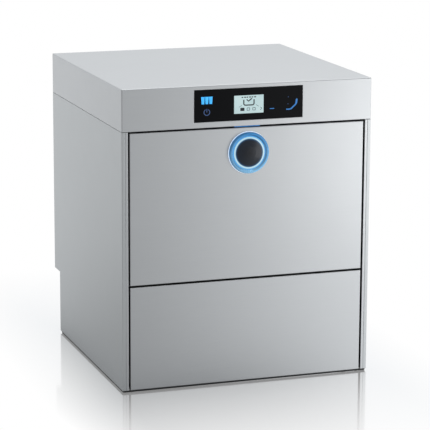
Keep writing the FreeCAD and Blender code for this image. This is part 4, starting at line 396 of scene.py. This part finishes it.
def cross(x, z, length, width):
    """The outline of a cross recess."""
    a, b = length / 2, width / 2
    corner = [(a, b), (b, b), (b, a)]
    points = []
    for turn in range(4):
        angle = math.radians(90 * turn)
        c, s = math.cos(angle), math.sin(angle)
        points += [(x + p * c - q * s, z + p * s + q * c) for p, q in corner]
    return points


def tumbler(x, z, height, top, foot):
    """The outline of a drinking glass, standing on z."""
    rim = z + height
    return [(x - foot / 2, z), (x + foot / 2, z), (x + top / 2, rim), (x - top / 2, rim)]


# Meshes
def box_mm(name):
    """The lowest and highest corner of a node's box, in millimetres."""
    low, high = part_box(name)
    return low / MM, high / MM


def mesh_piece(name, build, material, body, smooth=False):
    """Makes a mesh with bmesh code, gives it its finish and lets it ride on a body."""
    bm = bmesh.new()
    build(bm)
    bmesh.ops.recalc_face_normals(bm, faces=bm.faces)
    mesh = bpy.data.meshes.new(name)
    bm.to_mesh(mesh)
    bm.free()
    piece = bpy.data.objects.new(name, mesh)
    bpy.context.scene.collection.objects.link(piece)
    piece.data.materials.append(material)
    if smooth:
        for polygon in mesh.polygons:
            polygon.use_smooth = True
    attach(piece, body)
    return piece


def fixed_pieces(rows):
    """Makes a piece on the cabinet from each (name, build, material) row."""
    for name, build, material in rows:
        mesh_piece(name, build, material, "cabinet")


def ring_of_verts(bm, outline, y):
    return [bm.verts.new((x * MM, y * MM, z * MM)) for x, z in outline]


def band(bm, near, far):
    """Quads between two rings of as many vertices each."""
    count = len(near)
    for i in range(count):
        j = (i + 1) % count
        bm.faces.new((near[i], near[j], far[j], far[i]))


def prism(bm, outline, front_y, back_y):
    """A plate with an (x, z) outline, facing the front."""
    front = ring_of_verts(bm, outline, front_y)
    back = ring_of_verts(bm, outline, back_y)
    bm.faces.new(front)
    bm.faces.new(back[::-1])
    band(bm, back, front)


def printed(bm, outline, face_y):
    """Ink on a surface that faces the front."""
    prism(bm, outline, face_y - PRINT_T, face_y)


def loop_plate(bm, outer, inner, front_y, back_y):
    """A plate between two outlines of as many points each."""
    outer_front = ring_of_verts(bm, outer, front_y)
    outer_back = ring_of_verts(bm, outer, back_y)
    inner_front = ring_of_verts(bm, inner, front_y)
    inner_back = ring_of_verts(bm, inner, back_y)
    band(bm, outer_front, inner_front)
    band(bm, inner_back, outer_back)
    band(bm, outer_back, outer_front)
    band(bm, inner_front, inner_back)


def swept_loop(bm, area, radius, section, place):
    """A closed strip round a rounded rectangle; the section holds (outward, depth) points."""
    low_a, high_a, low_b, high_b = area
    rings = []
    for out, depth in section:
        outline = rounded_rectangle(
            low_a - out, high_a + out, low_b - out, high_b + out, radius + out
        )
        rings.append([bm.verts.new(Vector(place(a, b, depth)) * MM) for a, b in outline])
    for near, far in zip(rings, rings[1:] + rings[:1]):
        band(bm, near, far)


def dome(bm, x, y, z, radius, height):
    """A screw's domed head on a wall that faces the back."""
    steps = 20
    top = bm.verts.new((x * MM, (y + height) * MM, z * MM))
    rings = []
    for share, rise in ((1.0, 0.0), (0.94, 0.4), (0.75, 0.75), (0.4, 0.95)):
        rings.append(ring_of_verts(bm, circle(x, z, radius * share, steps), y + height * rise))
    for near, far in zip(rings, rings[1:]):
        band(bm, near, far)
    for i in range(steps):
        bm.faces.new((rings[-1][i], rings[-1][(i + 1) % steps], top))
    bm.faces.new(rings[0])


# Materials of the frame's nodes
def finishes():
    """Gives each node of the frame its finish, apart from the lamp and the door's seal."""
    outer = brushed("satin_steel", (0.565, 0.578, 0.588), 0.36)
    side = brushed("satin_steel_side", (0.55, 0.568, 0.575), 0.38, grain="upright")
    inner = brushed("chamber_steel", (0.68, 0.685, 0.69), 0.27, depth=0.25, smudge=0.08)
    fitting = brushed("bright_fitting", (0.55, 0.55, 0.56), 0.28, depth=0.3)
    heater = brushed("heater_rod", (0.42, 0.4, 0.39), 0.32, depth=0.3)
    zinc = moulded("zinc_plate", (0.42, 0.43, 0.45), 0.42, 260.0, 0.5, metallic=0.85)
    blackened = moulded("blackened_steel", (0.02, 0.02, 0.022), 0.45, 500.0, 0.3, metallic=0.6)
    black = moulded("foot_rubber", (0.018, 0.018, 0.02), 0.6, 900.0, 0.7)
    hose = moulded("hose_rubber", (0.015, 0.015, 0.016), 0.55, 800.0, 0.5)
    arms = moulded("arm_plastic", (0.2, 0.215, 0.23), 0.38, 600.0, 0.3)
    pump = moulded("pump_plastic", (0.06, 0.062, 0.068), 0.42, 700.0, 0.5)
    motor = moulded("motor_metal", (0.5, 0.5, 0.51), 0.4, 300.0, 0.6, metallic=0.9)
    case = moulded("case_plastic", (0.42, 0.43, 0.44), 0.48, 800.0, 0.4)
    sheet = (0.5, 0.51, 0.52)
    basket_low, basket_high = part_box("strainer_basket")
    basket_axis = (basket_low + basket_high) / 2
    basket_radius = (basket_high.x - basket_low.x) / 2
    basket = perforated("basket_sheet", sheet, basket_axis, basket_radius)
    table = {
        perforated("strainer_sheet", sheet): ("strainer_plates",),
        basket: ("strainer_basket",),
        outer: (
            "top_cover", "lower_front_panel", "door_outer_panel", "front_posts",
            "rear_panel_upper", "rear_panel_lower",
        ),
        side: ("side_panel_left", "side_panel_right"),
        inner: (
            "wash_chamber", "wash_tank", "rack_rails", "door_inner_panel", "boiler",
            "lower_rinse_arm", "upper_rinse_arm",
        ),
        fitting: ("hinge_arms", "door_springs", "panel_screws"),
        blackened: ("hinge_pins",),
        zinc: ("base_frame", "support_saddles"),
        black: ("foot_front_left", "foot_front_right", "foot_rear_left", "foot_rear_right"),
        hose: ("suction_hose", "rinse_pipe", "drain_hose"),
        arms: (
            "lower_wash_arm", "upper_wash_arm", "lower_spindle", "upper_spindle", "arm_nuts",
        ),
        pump: (
            "wash_pump_housing", "wash_pipes", "drain_pump", "drain_spigot", "inlet_valve",
            "cable_gland", "drain_pump_rotor", "detergent_pump_rotor", "rinse_aid_pump_rotor",
        ),
        motor: ("wash_pump_motor", "wash_pump_rotor", "booster_pump"),
        case: ("dosing_pumps", "break_tank", "control_housing", "electrical_box"),
        heater: ("tank_heater", "boiler_heater"),
        circuit_board("circuit_board"): ("control_board",),
        black_glass("black_glass"): ("control_glass",),
        lit_display("lit_display"): ("display_module",),
        glowing("door_light", (0.04, 0.18, 0.46), 0.7): ("door_light_bar",),
    }
    for material, names in table.items():
        for name in names:
            finish(name, material)


def finish(name, material):
    slots = nodes[name].data.materials
    slots.clear()
    slots.append(material)


# Pieces added to the frame
def lamp():
    """The status lamp's finishes, and a thin light guide round its foot."""
    low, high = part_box("status_lamp_lens")
    centre = (low + high) / 2
    finish("status_lamp_lens", lens_material("lamp_lens", centre, (high.x - low.x) / 2))
    finish("status_lamp_bezel", bezel_material("lamp_bezel", centre))

    bezel_low, bezel_high = box_mm("status_lamp_bezel")
    door_low, _ = box_mm("door_outer_panel")
    gap, width, height, steps = 0.1, 0.8, 1.0, 96
    inner_r = (bezel_high.x - bezel_low.x) / 2 + gap

    def build(bm):
        x, z = centre.x / MM, centre.z / MM
        outer = circle(x, z, inner_r + width, steps)
        inner = circle(x, z, inner_r, steps)
        loop_plate(bm, outer, inner, door_low.y - gap - height, door_low.y - gap)

    light = glowing("halo_light", (0.78, 0.86, 0.95), 0.75)
    mesh_piece("lamp_halo_ring", build, light, "door")


def display_marks():
    """Plain pictograms on the lit display: a basin with a check mark and a row of icons."""
    glass_low, glass_high = box_mm("control_glass")
    mid = (glass_low.z + glass_high.z) / 2
    y = box_mm("display_module")[0].y

    def dark(bm):
        for i in range(6):
            x = -17.5 + 6.0 * i
            width = 4.8 if i % 2 else 3.8
            printed(bm, rounded_rectangle(x, x + width, mid + 14.4, mid + 16.6, 0.5), y)
        half, rim, floor_z, bend = 12.3, mid + 9.0, mid + 1.4, 4.0
        basin = [(-half, rim)]
        basin += arc(bend - half, floor_z, bend, 180, 270, 6)
        basin += arc(half - bend, floor_z, bend, 270, 360, 6)
        basin += [(half, rim)]
        printed(bm, stroke(basin, [2.7] * len(basin)), y)
        check = [(-4.6, mid + 9.8), (-1.0, mid + 6.2), (6.6, mid + 12.0)]
        printed(bm, stroke(check, [2.5] * 3), y)
        printed(bm, rounded_rectangle(-20.5, -10.6, mid - 15.5, mid - 8.2, 1.0), y)

    def faint(bm):
        wall = 1.3
        low, high = mid - 15.2, mid - 8.4
        for x in (-5.0, 8.5):
            outer = rounded_rectangle(x, x + 7.6, low, high, 1.2)
            inner = rounded_rectangle(x + wall, x + 7.6 - wall, low + wall, high - wall, 0.6)
            loop_plate(bm, outer, inner, y - PRINT_T, y)
        chevron = [(28.2, mid - 14.4), (31.4, mid - 11.6), (28.2, mid - 8.8)]
        printed(bm, stroke(chevron, [1.6] * 3), y)
        for side in (-1, 1):
            slope = [(side * 17.5, mid - 2.8), (side * 23.5, mid - 6.4)]
            printed(bm, stroke(slope, [1.0, 1.0]), y)

    ink = moulded("display_ink", (0.012, 0.02, 0.026), 0.5, 900.0, 0.1)
    pale = moulded("display_ink_pale", (0.2, 0.3, 0.33), 0.5, 900.0, 0.1)
    fixed_pieces((
        ("display_marks_dark", dark, ink), ("display_marks_faint", faint, pale),
    ))


def panel_marks():
    """Lit marks of the touch keys on the black glass."""
    low, high = box_mm("control_glass")
    y = low.y
    mid = (low.z + high.z) / 2

    def glasses(bm):
        for x in (-109.8, -100.5, -91.2):
            printed(bm, tumbler(x, mid + 4.4, 16.5, 8.4, 6.2), y)

    def keys(bm):
        printed(bm, rounded_rectangle(50.5, 61.0, mid - 14.2, mid - 12.4, 0.8), y)
        bend = [(90.9, mid - 16.8), (99.6, mid - 16.8), (102.6, mid - 15.4)]
        bend += [(112.4, mid - 6.6), (114.4, mid - 3.6), (115.4, mid + 4.6)]
        widths = [2.3 + 0.4 * i for i in range(len(bend))]
        printed(bm, stroke(bend, widths), y)

    def power(bm):
        x, z = -100.4, mid - 14.4
        outer_r, inner_r, start, end, steps = 7.6, 6.0, 118, 422, 40
        outer = arc(x, z, outer_r, start, end, steps)
        inner = arc(x, z, inner_r, start, end, steps)
        printed(bm, outer + inner[::-1], y)
        printed(bm, rounded_rectangle(x - 0.8, x + 0.8, z - 0.5, z + 8.2, 0.7), y)

    def dots(bm):
        for x, z in ((95.0, mid + 11.6), (94.3, mid - 4.6)):
            printed(bm, circle(x, z, 1.2, 16), y)

    sky = glowing("mark_bright", (0.05, 0.42, 0.9), 0.75)
    blue = glowing("mark_blue", (0.03, 0.2, 0.55), 0.5)
    steel = glowing("mark_steel", (0.05, 0.1, 0.25), 0.5)
    dim = glowing("mark_dim", (0.01, 0.05, 0.16), 0.3)
    fixed_pieces((
        ("panel_marks_glasses", glasses, sky), ("panel_marks_keys", keys, blue),
        ("panel_marks_power", power, steel), ("panel_marks_dots", dots, dim),
    ))


def gap_shade_trims():
    """Black edging in the gaps round the door and the lower panel, and on the posts: painted shade
    that keeps these deep gaps dark.
    """
    # Painted shade: near-black strips inside the gaps, which are dark only from shade
    rubber = moulded("gap_shade_black", (0.006, 0.006, 0.007), 0.6, 900.0, 0.4)
    start, thick = 1.9, 0.3

    for node, body, depth in (
        ("door_outer_panel", "door", 24.0), ("lower_front_panel", "cabinet", 9.0),
    ):
        low, high = box_mm(node)

        def edging(bm):
            outer = rounded_rectangle(
                low.x - thick, high.x + thick, low.z - thick, high.z + thick, 0.5
            )
            inner = rounded_rectangle(low.x, high.x, low.z, high.z, 0.2)
            loop_plate(bm, outer, inner, low.y + start, low.y + start + depth)

        mesh_piece(node + "_gap_shade", edging, rubber, body)

    low, high = box_mm("front_posts")
    _, door_high = box_mm("door_outer_panel")
    post_gap, liner_t, liner_end = 4.2, 0.5, 34.0

    # Painted shade: near-black liners on the posts' inner faces, beside the door's gaps
    def liners(bm):
        for side in (-1, 1):
            post = side * (door_high.x + post_gap)
            x0, x1 = sorted((post, post - side * liner_t))
            z0, z1 = low.z + 1, high.z - 0.5
            outline = [(x0, z0), (x1, z0), (x1, z1), (x0, z1)]
            prism(bm, outline, low.y + start, low.y + liner_end)

    fixed_pieces((("post_gap_shade", liners, rubber),))


def door_gasket():
    """The door's seal as a bulb on a flat foot, in place of the plain strip."""
    low, high = box_mm("door_seal")
    width = 8.0
    bulb_mid, bulb_half, bulb_rise = 4.0, 2.4, 2.3
    foot = high.y
    section = [(0.2, foot), (0.2, foot - 0.9), (1.5, foot - 1.1)]
    for degrees in range(160, 19, -20):
        angle = math.radians(degrees)
        out = bulb_mid + bulb_half * math.cos(angle)
        section.append((out, low.y + bulb_rise - bulb_rise * math.sin(angle)))
    section += [(6.5, foot - 1.1), (7.8, foot - 0.9), (7.8, foot)]
    area = (low.x + width, high.x - width, low.z + width, high.z - width)
    rubber = moulded("gasket_rubber", (0.028, 0.028, 0.03), 0.45, 1200.0, 0.5)

    def build(bm):
        swept_loop(bm, area, 20.0, section, lambda a, b, depth: (a, depth, b))

    piece = mesh_piece("door_gasket", build, rubber, "cabinet", smooth=True)
    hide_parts("door_seal")


def floor_gap_shade_lip():
    """A black lip under the panels that fills the gap to the floor: painted shade for the dark line
    where the machine meets the floor.
    """
    front_low, _ = box_mm("lower_front_panel")
    side_low, _ = box_mm("side_panel_left")
    _, back_high = box_mm("base_frame")
    inset, wall, top, bottom, chamfer = 1.2, 2.4, front_low.z - 0.15, 0.9, 0.7
    area = (side_low.x, -side_low.x, front_low.y, back_high.y)
    outer, inner = -inset, -inset - wall
    section = [
        (outer, top), (outer, bottom + chamfer), (outer - 0.5, bottom),
        (inner + 0.5, bottom), (inner, bottom + chamfer), (inner, top),
    ]
    # Painted shade: the lip's near-black colour stands in for the shadow in the floor gap
    rubber = moulded("floor_gap_shade_black", (0.008, 0.008, 0.009), 0.6, 900.0, 0.4)

    def build(bm):
        swept_loop(bm, area, 6.0, section, lambda a, b, depth: (a, b, depth))

    fixed_pieces((("floor_gap_shade_lip", build, rubber),))


def screw_places():
    """The centre and the outermost y of each screw in the panel screws' mesh."""
    head_reach = 12
    heads = []
    for vertex in nodes["panel_screws"].data.vertices:
        x, y, z = vertex.co / MM
        for head in heads:
            if abs(head[0] - x) < head_reach and abs(head[2] - z) < head_reach:
                head[1] = max(head[1], y)
                head[3].append((x, z))
                break
        else:
            heads.append([x, y, z, [(x, z)]])
    places = []
    for _, y, _, points in heads:
        xs, zs = zip(*points)
        places.append(((min(xs) + max(xs)) / 2, y, (min(zs) + max(zs)) / 2))
    return places


def screw_details():
    """Domed crowns on the back panels' screws, with crosses painted dark as the shade in their
    recesses.
    """
    places = screw_places()
    crown_r, crown_h = 4.1, 0.9
    recess_length, recess_width, recess_start, recess_end = 4.2, 1.1, 0.3, 0.98

    def crowns(bm):
        for x, y, z in places:
            dome(bm, x, y, z, crown_r, crown_h)

    def recesses(bm):
        for x, y, z in places:
            outline = cross(x, z, recess_length, recess_width)
            prism(bm, outline, y + recess_start, y + recess_end)

    steel = brushed("screw_crown", (0.5, 0.5, 0.51), 0.25, depth=0.2)
    # Painted shade: a near-black cross stands in for the shade inside each screw's recess
    dark = moulded("screw_recess_shade", (0.01, 0.01, 0.011), 0.5, 900.0, 0.3)
    fixed_pieces((
        ("screw_crowns", crowns, steel), ("screw_recesses", recesses, dark),
    ))


def type_plate():
    """A bare foil plate on the back, fixed by four rivets."""
    x0, x1, z0, z1 = -230.0, -130.0, 205.0, 265.0
    rivet_in, border_in, line = 5.0, 9.0, 0.8
    wall = box_mm("rear_panel_upper")[1].y
    face = wall + 0.5

    def plate(bm):
        prism(bm, rounded_rectangle(x0, x1, z0, z1, 3.0), wall, face)
        for x in (x0 + rivet_in, x1 - rivet_in):
            for z in (z0 + rivet_in, z1 - rivet_in):
                dome(bm, x, face, z, 1.8, 0.9)

    def frame_line(margin, radius):
        return rounded_rectangle(x0 + margin, x1 - margin, z0 + margin, z1 - margin, radius)

    def border(bm):
        outer = frame_line(border_in, 1.5)
        inner = frame_line(border_in + line, 0.7)
        loop_plate(bm, outer, inner, face, face + PRINT_T)

    foil = brushed("plate_foil", (0.72, 0.73, 0.74), 0.22, depth=0.3)
    ink = moulded("plate_border", (0.05, 0.05, 0.055), 0.5, 900.0, 0.2)
    fixed_pieces((
        ("type_plate", plate, foil), ("type_plate_border", border, ink),
    ))


# Studio
def camera():
    """The view that was solved from the cabinet's corners."""
    azimuth, elevation, roll = (math.radians(v) for v in (AZIMUTH, ELEVATION, ROLL))
    back = Vector((
        math.sin(azimuth) * math.cos(elevation), -math.cos(azimuth) * math.cos(elevation),
        math.sin(elevation),
    ))
    right = Vector((math.cos(azimuth), math.sin(azimuth), 0.0))
    up = back.cross(right)
    level_right = right * math.cos(roll) + up * math.sin(roll)
    level_up = up * math.cos(roll) - right * math.sin(roll)
    data = bpy.data.cameras.new("camera")
    data.sensor_width = SENSOR_MM
    data.sensor_fit = "HORIZONTAL"
    data.lens = FOCAL_PX / FRAME_PX * SENSOR_MM
    data.clip_end = 100.0
    eye = bpy.data.objects.new("camera", data)
    turn = Matrix((level_right, level_up, back)).transposed().to_4x4()
    eye.matrix_world = Matrix.Translation(TARGET + back * DISTANCE) @ turn
    bpy.context.scene.collection.objects.link(eye)
    bpy.context.scene.camera = eye


def softbox(name, place, target, width, height, watts):
    """An area lamp that points at a target."""
    data = bpy.data.lights.new(name, "AREA")
    data.shape = "RECTANGLE"
    data.size, data.size_y = width, height
    data.energy = watts
    lamp_object = bpy.data.objects.new(name, data)
    lamp_object.location = place
    way = Vector(target) - Vector(place)
    lamp_object.rotation_euler = way.to_track_quat("-Z", "Y").to_euler()
    lamp_object.visible_camera = False
    bpy.context.scene.collection.objects.link(lamp_object)


def studio():
    """A white background, a grey room that lights the machine, and two lamps."""
    world = bpy.data.worlds.new("studio")
    bpy.context.scene.world = world
    tree = Tree(world)
    way = tree.separate(tree.add("ShaderNodeTexCoord").outputs["Generated"])
    path = tree.add("ShaderNodeLightPath").outputs
    sideways = tree.math("MULTIPLY", way["X"], GLOSS_RISE_TO_RIGHT)
    deeper = tree.math("MULTIPLY", way["Y"], GLOSS_RISE_TO_BACK)
    gloss = tree.math("ADD", tree.math("ADD", sideways, deeper), GLOSS_LEVEL)
    sharp = tree.math("MAXIMUM", path["Is Glossy Ray"], path["Is Transmission Ray"])
    rise = tree.math("MULTIPLY", sharp, tree.math("SUBTRACT", gloss, ROOM_LEVEL))
    level = tree.math("ADD", rise, ROOM_LEVEL)
    room = tree.add("ShaderNodeBackground", {"Strength": level, "Color": (0.96, 0.98, 1.0, 1)})
    white = tree.add("ShaderNodeBackground", {"Strength": 1.0, "Color": (1, 1, 1, 1)})
    seen = tree.mix_shaders(path["Is Camera Ray"], room.outputs[0], white.outputs[0])
    tree.finish(seen, "ShaderNodeOutputWorld")
    softbox("front_right", (1.15, -1.6, 0.1), (0.25, -0.3, 0.15), 0.8, 1.2, 4.5)
    softbox("overhead", (0.7, 0.5, 2.8), (0.1, 0.1, 0.5), 2.2, 2.2, 17)


def floor():
    """A white floor with a soft shadow and a mirror image that fades away from the machine, and a
    painted glow of light that the steel mirrors.
    """
    material, tree, where = new_material("studio_floor")
    path = tree.add("ShaderNodeLightPath").outputs
    parts = tree.separate(where["Object"])
    x, y = parts["X"], parts["Y"]
    half_cabinet = cad_bounds[1][0]
    half_floor = 8.0

    # Distance from the cabinet's foot, counted 3.2 times beside it
    squares = []
    for value, stretch in ((x, 3.2), (y, 1.0)):
        outside = tree.math("SUBTRACT", tree.math("ABSOLUTE", value), half_cabinet)
        share = tree.math("MULTIPLY", tree.math("MAXIMUM", outside, 0.0), stretch)
        squares.append(tree.square(share))
    away = tree.math("SQRT", tree.math("ADD", *squares))

    mottle = tree.noise(where["Object"], 3.0, 2.0, 0.5)
    tone = tree.mix(mottle, (0.7, 0.702, 0.705), (0.74, 0.74, 0.743))
    ground = tree.add("ShaderNodeBsdfPrincipled", {"Base Color": tone, "Roughness": 0.3}).outputs[0]

    # What the camera sees: white, with a mirror image and a shadow near the machine
    mirror = tree.add("ShaderNodeBsdfAnisotropic", {"Color": (1, 1, 1, 1), "Roughness": 0.08})
    polished = tree.mix_shaders(0.2, mirror.outputs[0], ground)
    white = tree.add("ShaderNodeEmission", {"Color": (1, 1, 1, 1), "Strength": 1.0})
    near = tree.remap(away, 0.0, 0.6, 0.8, 0.0)
    seen = tree.mix_shaders(near, white.outputs[0], polished)

    # What the steel mirrors: a pale floor glowing with painted light, brighter to the camera's right
    # and to the back
    view_slope = -math.tan(math.radians(AZIMUTH))
    from_front = tree.math("ADD", y, half_cabinet)
    slant = tree.math("ADD", x, tree.math("MULTIPLY", from_front, view_slope))
    painted_light_rightward = tree.remap(slant, -0.3, 0.3, 0.52, 1.12)
    level = tree.math("ADD", painted_light_rightward, tree.remap(y, 0.2, 1.2, 0.0, 0.15))
    # Painted light: the floor glows only for glossy rays, so the steel reflects a floor lit brighter
    # to the right
    pale = tree.add("ShaderNodeEmission", {"Color": (0.97, 0.985, 1.0, 1), "Strength": level})
    dark_left = tree.remap(slant, -0.1, 0.3, 1.0, 0.2)
    dark_near = tree.math("MULTIPLY", tree.remap(away, 0.0, 0.45, 0.82, 0.0), dark_left)
    mirrored = tree.mix_shaders(dark_near, pale.outputs[0], ground)

    shiny = tree.mix_shaders(path["Is Glossy Ray"], ground, mirrored)
    direct = tree.math("MAXIMUM", path["Is Camera Ray"], path["Is Transmission Ray"])
    tree.finish(tree.mix_shaders(direct, shiny, seen))

    mesh = bpy.data.meshes.new("studio_floor")
    signs = ((-1, -1), (1, -1), (1, 1), (-1, 1))
    corners = [(sx * half_floor, sy * half_floor, 0) for sx, sy in signs]
    mesh.from_pydata(corners, [], [(0, 1, 2, 3)])
    piece = bpy.data.objects.new("studio_floor", mesh)
    piece.data.materials.append(material)
    bpy.context.scene.collection.objects.link(piece)


finishes()
lamp()
display_marks()
panel_marks()
gap_shade_trims()
door_gasket()
floor_gap_shade_lip()
screw_details()
type_plate()
camera()
studio()
floor()
bpy.context.scene.view_settings.view_transform = "Standard"
